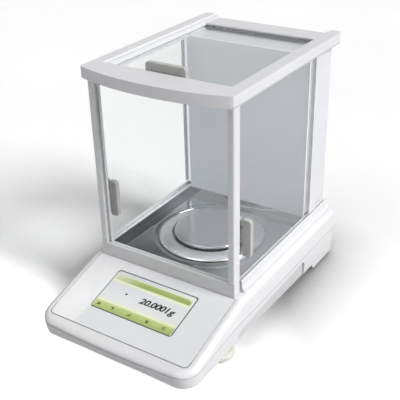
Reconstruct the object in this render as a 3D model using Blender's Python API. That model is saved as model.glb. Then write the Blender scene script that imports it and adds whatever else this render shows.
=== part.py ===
"""Analytical balance with a glass draft shield and a sloped touch console.

Right handed, +Z up, the front of the balance faces -Y.  The finished object stands on
z = 0, with the origin midway between the sides and midway between front and rear.
Dimensions are in millimetres.  In names, HALF is a half width about x = 0, R a radius,
T a thickness, and 0 and 1 mark the lower and upper end of a span.
"""
import math

import bmesh
import bpy
from mathutils import Vector

for old in list(bpy.data.objects):
    bpy.data.objects.remove(old, do_unlink=True)

MM = 0.001
SHARP_ANGLE = math.radians(32.0)
SIDES = (("left", -1), ("right", 1))

# ---------------------------------------------------------------- overall size
BODY_HALF = 101.0        # at the parting line
BODY_Y0 = -170.5         # front of the base, on the centre line
BODY_Y1 = 178.0          # rear of the base
FRONT_BOW = 0.0004       # front edge: y = BODY_Y0 + FRONT_BOW * x^2
FRONT_R, REAR_R = 21.0, 12.0   # plan radii of the corners
BASE_TOP = 66.0          # top of the base under the chamber
GAP = 0.3                # left between pieces that touch
SHIFT_Y = -3.75          # moves the finished object so that the origin is at mid-length

# Sloped console: a line through the front edge of the label and the sill line
SLOPE_Y0, SLOPE_Z0 = -155.0, 39.6
SLOPE_Y1, SLOPE_Z1 = -62.0, 65.0
SLOPE = math.atan2(SLOPE_Z1 - SLOPE_Z0, SLOPE_Y1 - SLOPE_Y0)

# Parting line between upper cover and lower tray: its height eases up towards the rear
PART_FRONT_Z, PART_REAR_Z = 31.0, 40.3
PART_RISE_Y0, PART_RISE_LEN = -178.0, 110.0
PART_CLEAR = 0.15        # each side of the parting line

COVER_T = 2.6
LIP_FRONT, LIP_SIDE = 7.5, 6.5   # inset of the crown from the cover's outer wall
CROWN_STEPS = 4
TRAY_T, TRAY_FLOOR_T = 4.6, 3.0
TRAY_BOTTOM, BLOCK_BOTTOM = 12.5, 5.0
BLOCK_Y0, BLOCK_Y1 = 111.0, 117.0    # the bottom steps down to the rear block here
SCREWS = ((-80.0, -120.0), (80.0, -120.0), (-80.0, 138.0), (80.0, 138.0))  # x, y

# Console label and display: V runs up the slope
LABEL_HALF, LABEL_R = 91.5, 6.0
LABEL_V0, LABEL_V1 = -2.4, 95.6
DISPLAY_HALF, DISPLAY_V0, DISPLAY_V1 = 54.0, 24.6, 81.6
DISPLAY_V = (DISPLAY_V0 + DISPLAY_V1) / 2
DISPLAY_HALF_V = (DISPLAY_V1 - DISPLAY_V0) / 2

# Weighing chamber
ROOF_TOP, ROOF_BOTTOM, ROOF_HALF = 294.0, 281.5, 92.4
ROOF_FRONT, ROOF_BOW, ROOF_REAR = -67.5, 14.0, 176.0
ROOF_BOW_POWER, ROOF_BOW_STEPS = 2.2, 14
ROOF_IN_HALF, ROOF_IN_FRONT = 74.5, -46.0
POST_HALF, POST_W, POST_Y0, POST_Y1 = 89.5, 8.0, -62.0, -51.0
SILL_TOP = 81.0
SLOT_HALF, SLOT_Y0, SLOT_Y1 = 84.0, -59.2, -54.8   # holds the front glass
BACK_Y0, BACK_Y1 = 115.0, 118.0
COLUMN_HALF, COLUMN_Y1, COLUMN_T = 83.5, 175.0, 3.0
COLUMN_Y0 = BACK_Y1 + GAP
CHAMBER_Z0, CHAMBER_Z1 = BASE_TOP + GAP, ROOF_BOTTOM - GAP
FLOOR_TOP = 67.5

# Doors and their handles
GLASS_X0, GLASS_X1 = 86.0, 89.0
GLASS_X = (GLASS_X0 + GLASS_X1) / 2
TRACK_X0, TRACK_X1 = GLASS_X0 - 0.4, GLASS_X1 + 0.4
TOP_GLASS_Z0, TOP_GLASS_Z1, TOP_GLASS_HALF = 283.7, 286.5, 77.4
HANDLE_Y0, HANDLE_Y1 = -45.2, -39.6
HANDLE_Y = (HANDLE_Y0 + HANDLE_Y1) / 2
SIDE_PIN_ZS, TOP_PIN_XS = (120.0, 142.0), (-14.0, 14.0)
PIN_R, PIN_HOLE_R = 1.9, 2.3

# Weighing pan, draft ring and cell
PAN_Y, PAN_R, PAN_TOP = 36.0, 45.0, 76.0
RING_R0, RING_R1, RING_Z1 = 48.0, 64.0, 72.6
MAGNET_Y = 90.0
LEVER_PIVOT = (0.0, 62.0, 37.0)

# Rear ports
SERIAL_X0, SERIAL_X1, SERIAL_Z0, SERIAL_Z1 = 20.4, 51.6, 47.0, 59.0
SERIAL_CLEAR = 0.4
JACK_X, JACK_Z, JACK_R = 70.0, 53.0, 5.9

# Levelling feet at the front, plain feet at the rear
FOOT_X, FOOT_Y = 82.5, -85.0
WHEEL_R, WHEEL_Z0, WHEEL_Z1 = 18.3, 4.2, 12.4
STEM_R, STEM_TOP = 4.0, 33.0
REAR_FOOT_X, REAR_FOOT_Y = 80.0, 158.0


# ------------------------------------------------------------------- materials
def material(name, color, roughness, metallic=0.0, alpha=1.0):
    made = bpy.data.materials.new(name)
    made.use_nodes = True
    inputs = made.node_tree.nodes["Principled BSDF"].inputs
    inputs["Base Color"].default_value = (*color, 1.0)
    inputs["Roughness"].default_value = roughness
    inputs["Metallic"].default_value = metallic
    inputs["Alpha"].default_value = alpha
    made.diffuse_color = (*color, alpha)
    return made


def metal(name, color, roughness):
    return material(name, color, roughness, metallic=1.0)


WHITE = material("white_abs", color=(0.84, 0.84, 0.85), roughness=0.42)
TRAY = material("tray_abs", color=(0.80, 0.80, 0.81), roughness=0.48)
LABEL = material("label_film", color=(0.76, 0.77, 0.78), roughness=0.35)
FRAME = material("frame_white", color=(0.80, 0.80, 0.82), roughness=0.38)
GLASS = material("clear_glass", color=(0.93, 0.96, 0.95), roughness=0.03, alpha=0.25)
SCREEN = material("screen_glass", color=(0.70, 0.72, 0.72), roughness=0.08)
BACK = material("back_panel_grey", color=(0.50, 0.53, 0.55), roughness=0.35)
STEEL = metal("brushed_steel", color=(0.46, 0.47, 0.49), roughness=0.28)
PAN = metal("pan_steel", color=(0.62, 0.62, 0.63), roughness=0.2)
HANDLE = material("handle_grey", color=(0.30, 0.30, 0.31), roughness=0.45)
ALUMINIUM = metal("cast_aluminium", color=(0.58, 0.59, 0.60), roughness=0.4)
SPRING = metal("spring_bronze", color=(0.62, 0.47, 0.25), roughness=0.3)
COPPER = metal("coil_copper", color=(0.62, 0.30, 0.14), roughness=0.35)
MAGNET = metal("magnet_iron", color=(0.22, 0.22, 0.23), roughness=0.45)
BOARD = material("circuit_board", color=(0.03, 0.20, 0.09), roughness=0.5)
BLACK = material("black_plastic", color=(0.03, 0.03, 0.03), roughness=0.5)
WHEEL = material("wheel_plastic", color=(0.72, 0.74, 0.70), roughness=0.45)
RUBBER = material("foot_rubber", color=(0.05, 0.05, 0.05), roughness=0.85)
BRASS = metal("brass_insert", color=(0.70, 0.52, 0.22), roughness=0.3)
ZINC = metal("screw_zinc", color=(0.60, 0.60, 0.60), roughness=0.3)
CABLE = material("ribbon_grey", color=(0.55, 0.56, 0.58), roughness=0.6)


# ------------------------------------------------ solids; boolean tools are black
def add(name, verts, faces, mat, origin=(0.0, 0.0, 0.0)):
    """One closed mesh given in millimetres, with its origin where asked."""
    location = Vector(origin) * MM
    mesh = bpy.data.meshes.new(name)
    mesh.from_pydata([Vector(v) * MM - location for v in verts], [], faces)
    bm = bmesh.new()
    bm.from_mesh(mesh)
    bmesh.ops.recalc_face_normals(bm, faces=bm.faces)
    bm.to_mesh(mesh)
    bm.free()
    mesh.materials.append(mat)
    mesh.shade_smooth()
    mesh.set_sharp_from_angle(angle=SHARP_ANGLE)
    solid = bpy.data.objects.new(name, mesh)
    solid.location = location
    bpy.context.collection.objects.link(solid)
    return solid


def boolean(solid, tool, operation):
    modifier = solid.modifiers.new(tool.name, "BOOLEAN")
    modifier.operation = operation
    modifier.solver = "EXACT"
    modifier.object = tool
    tool.hide_render = True
    tool.display_type = "WIRE"


def cut(solid, tool):
    boolean(solid, tool, "DIFFERENCE")


def fuse(solid, tool):
    boolean(solid, tool, "UNION")


def bridge_faces(start, n):
    """Quads between two rings of n vertices stored one after the other."""
    after = start + n
    return [(start + i, start + (i + 1) % n, after + (i + 1) % n, after + i) for i in range(n)]


def joined(first, last):
    """Vertices and faces of the solid between two equal polygons."""
    n = len(first)
    caps = [tuple(range(n)), tuple(range(2 * n - 1, n - 1, -1))]
    return first + last, caps + bridge_faces(0, n)


def prism(name, polygon, axis, lo, hi, mat=BLACK, origin=(0, 0, 0)):
    """A polygon run along axis, drawn as (y, z), (x, z) or (x, y) for axis x, y or z."""
    place = {"x": lambda a, b, t: (t, a, b),
             "y": lambda a, b, t: (a, t, b),
             "z": lambda a, b, t: (a, b, t)}[axis]
    ends = [[place(a, b, t) for a, b in polygon] for t in (lo, hi)]
    return add(name, *joined(*ends), mat, origin)


def block(name, lo, hi, mat=BLACK, origin=(0, 0, 0)):
    polygon = [(lo[0], lo[1]), (hi[0], lo[1]), (hi[0], hi[1]), (lo[0], hi[1])]
    return prism(name, polygon, "z", lo[2], hi[2], mat, origin)


def arc(centre, radius, start, steps):
    """Quarter circle, counter clockwise from start degrees."""
    angles = [math.radians(start + 90 * i / steps) for i in range(steps + 1)]
    return [(centre[0] + radius * math.cos(a), centre[1] + radius * math.sin(a)) for a in angles]


def rounded(centre, half, radius, steps):
    """Rounded rectangle, counter clockwise; half is its two half sizes."""
    points = []
    for sign_a, sign_b, start in ((1, -1, -90), (1, 1, 0), (-1, 1, 90), (-1, -1, 180)):
        corner = (centre[0] + sign_a * (half[0] - radius), centre[1] + sign_b * (half[1] - radius))
        points += arc(corner, radius, start, steps)
    return points


def soft_block(name, lo, hi, radius, steps, mat=BLACK, axis="z"):
    """A block whose edges along one axis are rounded."""
    i, j, k = {"x": (1, 2, 0), "z": (0, 1, 2)}[axis]
    centre = ((lo[i] + hi[i]) / 2, (lo[j] + hi[j]) / 2)
    half = ((hi[i] - lo[i]) / 2, (hi[j] - lo[j]) / 2)
    return prism(name, rounded(centre, half, radius, steps), axis, lo[k], hi[k], mat)


def disc(name, radius, segments, centre, axis, lo, hi):
    """Round boolean tool; its centre is given in the two axes it is drawn in."""
    angles = [2 * math.pi * i / segments for i in range(segments)]
    circle = [(centre[0] + radius * math.cos(a), centre[1] + radius * math.sin(a)) for a in angles]
    return prism(name, circle, axis, lo, hi)


def turned_data(profile, segments):
    """Closed (radius, z) profile turned about the z axis; radius 0 gives a pole."""
    verts, rows = [], []
    for radius, z in profile:
        count = segments if radius > 0 else 1
        rows.append([len(verts) + i for i in range(count)])
        for i in range(count):
            angle = 2 * math.pi * i / segments
            verts.append((radius * math.cos(angle), radius * math.sin(angle), z))
    faces = []
    for low, high in zip(rows, rows[1:] + rows[:1]):
        if len(low) == 1 and len(high) == 1:
            continue
        for i in range(segments):
            j = (i + 1) % segments
            if len(low) == 1:
                faces.append((low[0], high[i], high[j]))
            elif len(high) == 1:
                faces.append((low[i], low[j], high[0]))
            else:
                faces.append((low[i], low[j], high[j], high[i]))
    return verts, faces


def turned(name, profile, segments, centre, mat, origin=None):
    """Profile turned about a vertical line; the origin defaults to its first height."""
    verts, faces = turned_data(profile, segments)
    verts = [(centre[0] + x, centre[1] + y, z) for x, y, z in verts]
    return add(name, verts, faces, mat, origin or (*centre, profile[0][1]))


def turned_along_y(name, profile, segments, centre, mat, origin):
    """(radius, offset towards the rear) profile turned about a line along y."""
    verts, faces = turned_data(profile, segments)
    verts = [(centre[0] + x, centre[1] + z, centre[2] - y) for x, y, z in verts]
    return add(name, verts, faces, mat, origin)


def mirrored(points, side):
    return [(side * x, other) for x, other in points]


def span(side, near, far):
    """Lower and upper x of a span that runs outwards on the given side."""
    return sorted((side * near, side * far))


# -------------------------------------------------------- base outline in plan
SIDE_YS = (-118.0, -92.0, -58.36, -20.0, 40.0, 88.0, BLOCK_Y0, BLOCK_Y1, 150.0)
FRONT_FRACTIONS = (0.0, 0.35, 0.7)   # stations along the bowed front edge
FRONT_ARC_STEPS, REAR_ARC_STEPS = 6, 3


def outline(side, front, rear):
    """Base outline moved inwards by the three insets; the first point is on x = 0."""
    half, y0, y1 = BODY_HALF - side, BODY_Y0 + front, BODY_Y1 - rear
    front_r = max(FRONT_R - max(side, front * 0.6), 3.0)
    rear_r = max(REAR_R - side, 2.0)
    # Settle the x where the corner arc meets the bowed front edge in a tangent
    meet = half - front_r
    for _ in range(30):
        meet = half - front_r + front_r * math.sin(math.atan(2 * FRONT_BOW * meet))
    start = math.atan(2 * FRONT_BOW * meet)
    arc_x = meet - front_r * math.sin(start)
    arc_y = y0 + FRONT_BOW * meet ** 2 + front_r * math.cos(start)

    right = [(meet * f, y0 + FRONT_BOW * (meet * f) ** 2) for f in FRONT_FRACTIONS]
    for i in range(FRONT_ARC_STEPS + 1):
        angle = start + (math.pi / 2 - start) * i / FRONT_ARC_STEPS
        right.append((arc_x + front_r * math.sin(angle), arc_y - front_r * math.cos(angle)))
    right += [(half, y) for y in SIDE_YS]
    right += arc((half - rear_r, y1 - rear_r), rear_r, 0, REAR_ARC_STEPS)
    return right + mirrored(reversed(right[1:]), -1)


def strip_cap(start, n):
    """Cap a ring whose height depends on y only, by strips across the width."""
    faces = [(start, start + 1, start + n - 1)]
    for i in range(1, n // 2):
        faces.append((start + i, start + i + 1, start + n - i - 1, start + n - i))
    return faces


def lofted(name, rings, mat):
    """Solid through rings of equal length, capped at both ends."""
    n = len(rings[0])
    last = (len(rings) - 1) * n
    faces = []
    for start in range(0, last, n):
        faces += bridge_faces(start, n)
    faces += strip_cap(0, n) + strip_cap(last, n)
    return add(name, [point for ring in rings for point in ring], faces, mat)


# ----------------------------------------------------- heights along the base
def clamp(t):
    return min(max(t, 0.0), 1.0)


def z_slope(y):
    return SLOPE_Z0 + (y - SLOPE_Y0) * math.tan(SLOPE)


def z_top(y):
    return min(z_slope(y), BASE_TOP)


def z_part(y):
    t = clamp((y - PART_RISE_Y0) / PART_RISE_LEN)
    return PART_FRONT_Z + (PART_REAR_Z - PART_FRONT_Z) * t * t * (3 - 2 * t)


def z_bottom(y):
    t = clamp((y - BLOCK_Y0) / (BLOCK_Y1 - BLOCK_Y0))
    return TRAY_BOTTOM + (BLOCK_BOTTOM - TRAY_BOTTOM) * t


# y, z of the lower edge of the tray's outer wall
SKIRT = (
    (-200.0, 20.0), (-166.5, 20.0), (-164.2, 16.4), (-121.0, 15.8), (-108.0, 17.6),
    (-44.0, 17.5), (-6.0, 15.9), (35.0, 14.2), (75.0, 12.9), (100.0, 12.5),
)


def z_skirt(y):
    """Height on the skirt line; behind its last point the tray bottom takes over."""
    for (ya, za), (yb, zb) in zip(SKIRT, SKIRT[1:]):
        if y <= yb:
            return za + (zb - za) * (y - ya) / (yb - ya)
    return z_bottom(y)


# --------------------------------------------------------- pieces on the slope
def on_slope(u, v, w):
    """Console coordinates: u across, v up the slope, w out of the surface."""
    return (u,
            SLOPE_Y0 + v * math.cos(SLOPE) - w * math.sin(SLOPE),
            SLOPE_Z0 + v * math.sin(SLOPE) + w * math.cos(SLOPE))


def slope_piece(name, polygon, w0, w1, mat=BLACK):
    ends = [[on_slope(u, v, w) for u, v in polygon] for w in (w0, w1)]
    return add(name, *joined(*ends), mat, on_slope(0, DISPLAY_V, 0))


def label_outline(grow):
    """Rounded at the front corners, square at the sill."""
    half, v1, radius = LABEL_HALF + grow, LABEL_V1 + grow, LABEL_R + grow
    x, v = half - radius, LABEL_V0 - grow + radius
    sill_end = [(half, v1), (-half, v1)]
    return arc((x, v), radius, 270, 5) + sill_end + arc((-x, v), radius, 180, 5)


def display_outline(grow_u, grow_v, radius, steps):
    half = (DISPLAY_HALF + grow_u, DISPLAY_HALF_V + grow_v)
    return rounded((0, DISPLAY_V), half, radius, steps)


# ----------------------------------------------------------------- base pieces
def cable_pass(name, z0, z1):
    """Tool for the opening from the base up into the rear column."""
    return soft_block(name, (-30.0, 128.0, z0), (30.0, 168.0, z1), radius=3.0, steps=2)


def cover_rings():
    """From the edge of the inner top, down inside, under the rim and up to the crown."""
    outer = outline(0, 0, 0)
    crown = outline(LIP_SIDE, LIP_FRONT, LIP_SIDE)
    inner = outline(COVER_T, COVER_T, COVER_T)
    inner_top = outline(LIP_SIDE + 0.6, LIP_FRONT + 0.6, LIP_SIDE + 0.6)
    shoulder = [max(z_part(p[1]) + 1.0, z_top(q[1]) - LIP_SIDE) for p, q in zip(outer, crown)]

    inner_shoulder = []
    for (x, y), height, top in zip(inner, shoulder, inner_top):
        z = z_part(y) + 0.5
        if z_part(y) + 0.6 < height - 0.4:
            z = min(height - 0.4, z_top(top[1]) - COVER_T - 0.8)
        inner_shoulder.append((x, y, z))
    rings = [
        [(x, y, z_top(y) - COVER_T) for x, y in inner_top],
        inner_shoulder,
        [(x, y, z_part(y) + PART_CLEAR) for x, y in inner],
        [(x, y, z_part(y) + PART_CLEAR) for x, y in outer],
        [(x, y, z) for (x, y), z in zip(outer, shoulder)],
    ]
    for i in range(1, CROWN_STEPS + 1):
        angle = math.pi / 2 * i / CROWN_STEPS
        inwards, upwards = 1 - math.cos(angle), math.sin(angle)
        rings.append([(p[0] + (q[0] - p[0]) * inwards,
                       p[1] + (q[1] - p[1]) * inwards,
                       z + (z_top(q[1]) - z) * upwards)
                      for p, q, z in zip(outer, crown, shoulder)])
    return rings


def upper_cover():
    cover = lofted("upper_cover", cover_rings(), WHITE)
    cut(cover, slope_piece("cut_label", label_outline(0.4), -1.4, 12.0))
    cut(cover, slope_piece("cut_display", display_outline(0.5, 0.5, 3.5, 3), -12.0, 6.0))
    cut(cover, block("cut_well", (-62.0, -36.0, 55.0), (62.0, 104.0, 75.0)))
    cut(cover, cable_pass("cut_column_pass", 55.0, 75.0))
    cut(cover, block("cut_serial",
                     (SERIAL_X0 - SERIAL_CLEAR, 170.0, SERIAL_Z0 - SERIAL_CLEAR),
                     (SERIAL_X1 + SERIAL_CLEAR, 185.0, SERIAL_Z1 + SERIAL_CLEAR)))
    cut(cover, disc("cut_jack", JACK_R + GAP, 14, (JACK_X, JACK_Z), "y", 170.0, 185.0))
    boss_r, bore_r = 4.6, 2.0
    for number, (x, y) in enumerate(SCREWS, 1):
        top = z_top(y - boss_r) - COVER_T + 0.9
        low = z_bottom(y) + TRAY_FLOOR_T + GAP
        fuse(cover, disc(f"boss_{number}", boss_r, 10, (x, y), "z", low, top))
        cut(cover, disc(f"cut_boss_{number}", bore_r, 10, (x, y), "z", low - 3.0, top - 4.0))


def tray_rings():
    """From the inner floor, up inside, over the rim and down to the underside."""
    low_in = outline(TRAY_T, 6.6, TRAY_T)
    low_out = outline(1.2, 2.0, 1.4)
    skirt = outline(2.6, 3.6, 2.8)
    return [
        [(x, y, z_bottom(y) + TRAY_FLOOR_T) for x, y in outline(9.0, 20.0, 8.0)],
        [(x, y, z_skirt(q[1]) + TRAY_FLOOR_T) for (x, y), q in zip(low_in, skirt)],
        [(x, y, z_part(y) - PART_CLEAR) for x, y in outline(TRAY_T, TRAY_T, TRAY_T)],
        [(x, y, z_part(y) - PART_CLEAR) for x, y in outline(0, 0, 0)],
        [(x, y, 0.45 * z_part(y) + 0.55 * (z_skirt(y) + 1.5)) for x, y in outline(0.3, 0.6, 0.3)],
        [(x, y, z_skirt(q[1]) + 1.8) for (x, y), q in zip(low_out, skirt)],
        [(x, y, z_skirt(y)) for x, y in skirt],
        [(x, y, z_bottom(y)) for x, y in outline(7.0, 18.0, 6.0)],
    ]


# Side wall cuts of the tray, as y, z
RECESS = (
    [(-73.0, -1.0), (87.6, -1.0), (87.6, 26.0)]
    + [(79.6 + 8.0 * math.cos(a), 26.0 + 8.0 * math.sin(a)) for a in (0.52, 1.05)]
    + [(80.0, 34.0), (-40.0, 32.2), (-62.0, 31.2), (-70.0, 29.0), (-73.0, 26.0)]
)
NOTCH = [(98.2, -1.0), (112.3, -1.0), (112.3, 17.0), (98.2, 17.0)]
ARCH = [
    (-109.6, -2.0), (-76.9, -2.0), (-76.9, 18.1), (-80.0, 21.4),
    (-86.0, 23.0), (-97.0, 23.0), (-104.0, 21.4), (-109.6, 16.9),
]


def lower_tray():
    tray = lofted("lower_tray", tray_rings(), TRAY)
    for tag, side in SIDES:
        recess_span = span(side, 98.05, 111.0)
        # Long hand recess, open below, with a rounded rear end
        cut(tray, prism(f"cut_recess_{tag}", RECESS, "x", *recess_span))
        # Step between the recess and the rear block
        cut(tray, prism(f"cut_notch_{tag}", NOTCH, "x", *recess_span))
        # Arch over the levelling wheel and the pocket it turns in
        cut(tray, prism(f"cut_arch_{tag}", ARCH, "x", *span(side, 97.13, 112.0)))
        x = side * FOOT_X
        cut(tray, disc(f"cut_pocket_{tag}", WHEEL_R + 1.05, 26, (x, FOOT_Y + 0.07),
                       "z", -3.0, 13.37))
        cut(tray, disc(f"cut_stem_{tag}", STEM_R + 0.6, 12, (x, FOOT_Y), "z", 5.0, 20.0))
    for number, (x, y) in enumerate(SCREWS, 1):
        low = z_bottom(y)
        cut(tray, disc(f"cut_screw_{number}", 2.2, 10, (x, y), "z", low - 3, low + 6))


# --------------------------------------------------------- label and display
def console():
    label = slope_piece("console_label", label_outline(0.0), -1.1, -0.25, LABEL)
    cut(label, slope_piece("cut_label_window", display_outline(0.35, 0.35, 3.3, 3), -5.0, 5.0))
    slope_piece("touch_panel", display_outline(0, 0, 3.0, 3), -2.3, -0.35, SCREEN)
    slope_piece("lcd_module", display_outline(-1.0, -1.0, 1.0, 1), -6.6, -2.6, BLACK)
    slope_piece("display_board", display_outline(-4.0, -3.0, 1.0, 1), -8.6, -6.9, BOARD)


def main_board():
    board = block("main_board", (-70.0, -112.0, 19.0), (70.0, -8.0, 20.6), BOARD)
    fuse(board, block("chips", (-20.0, -50.0, 20.0), (4.0, -26.0, 22.6)))
    fuse(board, block("socket", (22.0, -66.0, 20.0), (54.0, -60.0, 27.0)))


def ribbon_cable():
    """From the display board down to the socket on the main board."""
    _, board_y, board_z = on_slope(0, DISPLAY_V, -8.9)
    y, z = board_y + 6.0, board_z + 1.2
    path = [
        (y, z), (y + 8.0, z + 1.7), (-61.4, 34.0), (-61.4, 27.3),
        (-62.4, 27.3), (-62.4, 33.4), (y + 7.4, z + 0.8), (y + 0.3, z - 0.8),
    ]
    prism("ribbon_cable", path, "x", 24.0, 52.0, CABLE)


# --------------------------------------------------------------- chamber frame
def front_sill():
    section = [   # y, z
        (POST_Y0, z_slope(POST_Y0) + 0.35), (-58.4, CHAMBER_Z0), (POST_Y1, CHAMBER_Z0),
        (POST_Y1, SILL_TOP - 0.8), (POST_Y1 - 0.8, SILL_TOP),
        (POST_Y0 + 0.7, SILL_TOP), (POST_Y0, SILL_TOP - 0.7),
    ]
    sill = prism("front_sill", section, "x", -POST_HALF, POST_HALF, FRAME)
    # Ledge behind the lip for the front glass, running a little way under each post
    ledge = [   # x, y
        (-SLOT_HALF, SLOT_Y0), (SLOT_HALF, SLOT_Y0), (SLOT_HALF, SLOT_Y1), (81.2, SLOT_Y1),
        (81.2, -40.0), (-81.2, -40.0), (-81.2, SLOT_Y1), (-SLOT_HALF, SLOT_Y1),
    ]
    cut(sill, prism("cut_sill_ledge", ledge, "z", 78.0, 90.0))


def front_post(tag, side):
    """Slotted on its inner face for the fixed front glass."""
    inner = POST_HALF - POST_W
    section = [   # x, y
        (inner, POST_Y0 + 0.8), (inner + 0.8, POST_Y0), (POST_HALF - 1.2, POST_Y0),
        (POST_HALF, POST_Y0 + 1.2), (POST_HALF, POST_Y1), (inner, POST_Y1),
        (inner, SLOT_Y1), (inner + 2.6, SLOT_Y1), (inner + 2.6, SLOT_Y0), (inner, SLOT_Y0),
    ]
    prism(f"{tag}_front_post", mirrored(section, side), "z",
          SILL_TOP + GAP, ROOF_BOTTOM - GAP, FRAME)


def lower_rail(tag, side):
    """Carries the side door; its outer skirt rounds over onto the shoulder."""
    section = [   # x, z
        (84.0, 66.3), (94.4, 66.3), (94.2, 68.4), (93.5, 70.2), (92.3, 71.4),
        (91.8, 73.0), (91.5, 79.2), (90.7, 80.2), (TRACK_X1, 80.2), (TRACK_X1, 76.8),
        (TRACK_X0, 76.8), (TRACK_X0, 78.0), (85.2, 78.4), (84.0, 78.4),
    ]
    prism(f"{tag}_lower_rail", mirrored(section, side), "y", POST_Y1 + 1.7, 168.0, FRAME)


def side_door(tag, side):
    """Sliding glass with two holes for the handle pins."""
    x0, x1 = span(side, GLASS_X0, GLASS_X1)
    door = block(f"{tag}_door_glass", (x0, -50.4, 77.2), (x1, 128.5, 287.4), GLASS,
                 origin=(side * GLASS_X, 44.0, 182.0))
    for i, z in enumerate(SIDE_PIN_ZS):
        cut(door, disc(f"cut_{tag}_pin_{i}", PIN_HOLE_R, 12, (HANDLE_Y, z),
                       "x", x0 - 4, x1 + 4))


def side_door_handle(tag, side):
    """A fin on each side of the glass, joined by two pins."""
    inner_fin = [   # x, z
        (76.0, 110.5), (77.5, 109.0), (85.7, 109.0), (85.7, 153.0), (77.5, 153.0), (76.0, 151.5),
    ]
    outer_fin = [   # x, z
        (89.3, 109.0), (97.5, 109.0), (99.0, 110.5), (99.0, 151.5), (97.5, 153.0), (89.3, 153.0),
    ]
    handle = prism(f"{tag}_door_handle", mirrored(inner_fin, side), "y", HANDLE_Y0, HANDLE_Y1,
                   HANDLE, origin=(side * GLASS_X, HANDLE_Y, 131.0))
    fuse(handle, prism(f"fin_{tag}", mirrored(outer_fin, side), "y", HANDLE_Y0, HANDLE_Y1,
                       HANDLE))
    for i, z in enumerate(SIDE_PIN_ZS):
        fuse(handle, disc(f"pin_{tag}_{i}", PIN_R, 10, (HANDLE_Y, z),
                          "x", *span(side, 84.5, 90.5)))


def side_door_trim(tag, side):
    """Channel that stiffens the rear edge of the door."""
    section = [   # x, y
        (84.3, 114.5), (85.7, 114.5), (85.7, 128.9), (89.3, 128.9), (89.3, 114.5),
        (90.7, 114.5), (90.7, 131.1), (90.1, 131.7), (84.9, 131.7), (84.3, 131.1),
    ]
    prism(f"{tag}_door_trim", mirrored(section, side), "z", 82.6, 280.6, FRAME,
          origin=(side * GLASS_X, 122.5, 182.0))


def front_glass():
    """Fixed pane held in the sill, the posts and the roof."""
    block("front_glass", (-83.6, -58.5, 78.4), (83.6, -55.5, 283.8), GLASS)


def roof_frame():
    """Bowed front rail and two side rails in one U."""
    plan = []   # x, y
    for i in range(ROOF_BOW_STEPS + 1):
        x = -ROOF_HALF + 2 * ROOF_HALF * i / ROOF_BOW_STEPS
        forward = 1 - (abs(x) / ROOF_HALF) ** ROOF_BOW_POWER
        plan.append((x, ROOF_FRONT - ROOF_BOW * forward))
    right_rail = [
        (ROOF_HALF, ROOF_REAR - 5.0), (ROOF_HALF - 1.5, ROOF_REAR - 1.5),
        (ROOF_HALF - 5.0, ROOF_REAR), (ROOF_IN_HALF, ROOF_REAR), (ROOF_IN_HALF, ROOF_IN_FRONT),
    ]
    plan += right_rail + mirrored(reversed(right_rail), -1)
    roof = prism("roof_frame", plan, "z", ROOF_BOTTOM, ROOF_TOP, FRAME)
    track_half = TOP_GLASS_HALF + 0.6
    cut(roof, block("cut_top_track", (-track_half, -50.0, TOP_GLASS_Z0 - 0.5),
                    (track_half, 190.0, TOP_GLASS_Z1 + 0.5)))
    for tag, side in SIDES:
        x0, x1 = span(side, TRACK_X0, TRACK_X1)
        cut(roof, block(f"cut_{tag}_track", (x0, POST_Y1 + 0.2, 270.0), (x1, 190.0, 288.0)))
    cut(roof, block("cut_front_slot", (-SLOT_HALF, SLOT_Y0, 270.0), (SLOT_HALF, SLOT_Y1, 284.3)))


def rear_top_cap():
    half = ROOF_IN_HALF - GAP
    soft_block("rear_top_cap", (-half, 147.0, 287.4), (half, ROOF_REAR, 290.0),
               radius=0.9, steps=2, mat=FRAME, axis="x")


def top_door():
    """Sliding roof glass, and a handle whose two pins pass through it."""
    glass = block("top_door_glass", (-TOP_GLASS_HALF, -49.4, TOP_GLASS_Z0),
                  (TOP_GLASS_HALF, 150.0, TOP_GLASS_Z1), GLASS, origin=(0, 50.0, 285.1))
    low, top = TOP_GLASS_Z1 + GAP, 303.0
    section = [   # x, z
        (-24.5, low), (24.5, low), (24.5, top - 1.5),
        (23.0, top), (-23.0, top), (-24.5, top - 1.5),
    ]
    handle = prism("top_door_handle", section, "y", HANDLE_Y0, HANDLE_Y1, HANDLE,
                   origin=(0, HANDLE_Y, low))
    for i, x in enumerate(TOP_PIN_XS):
        centre = (x, HANDLE_Y)
        cut(glass, disc(f"cut_top_pin_{i}", PIN_HOLE_R, 12, centre, "z", 280.0, 290.0))
        fuse(handle, disc(f"top_pin_{i}", PIN_R, 10, centre, "z", TOP_GLASS_Z0, 289.0))


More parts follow.
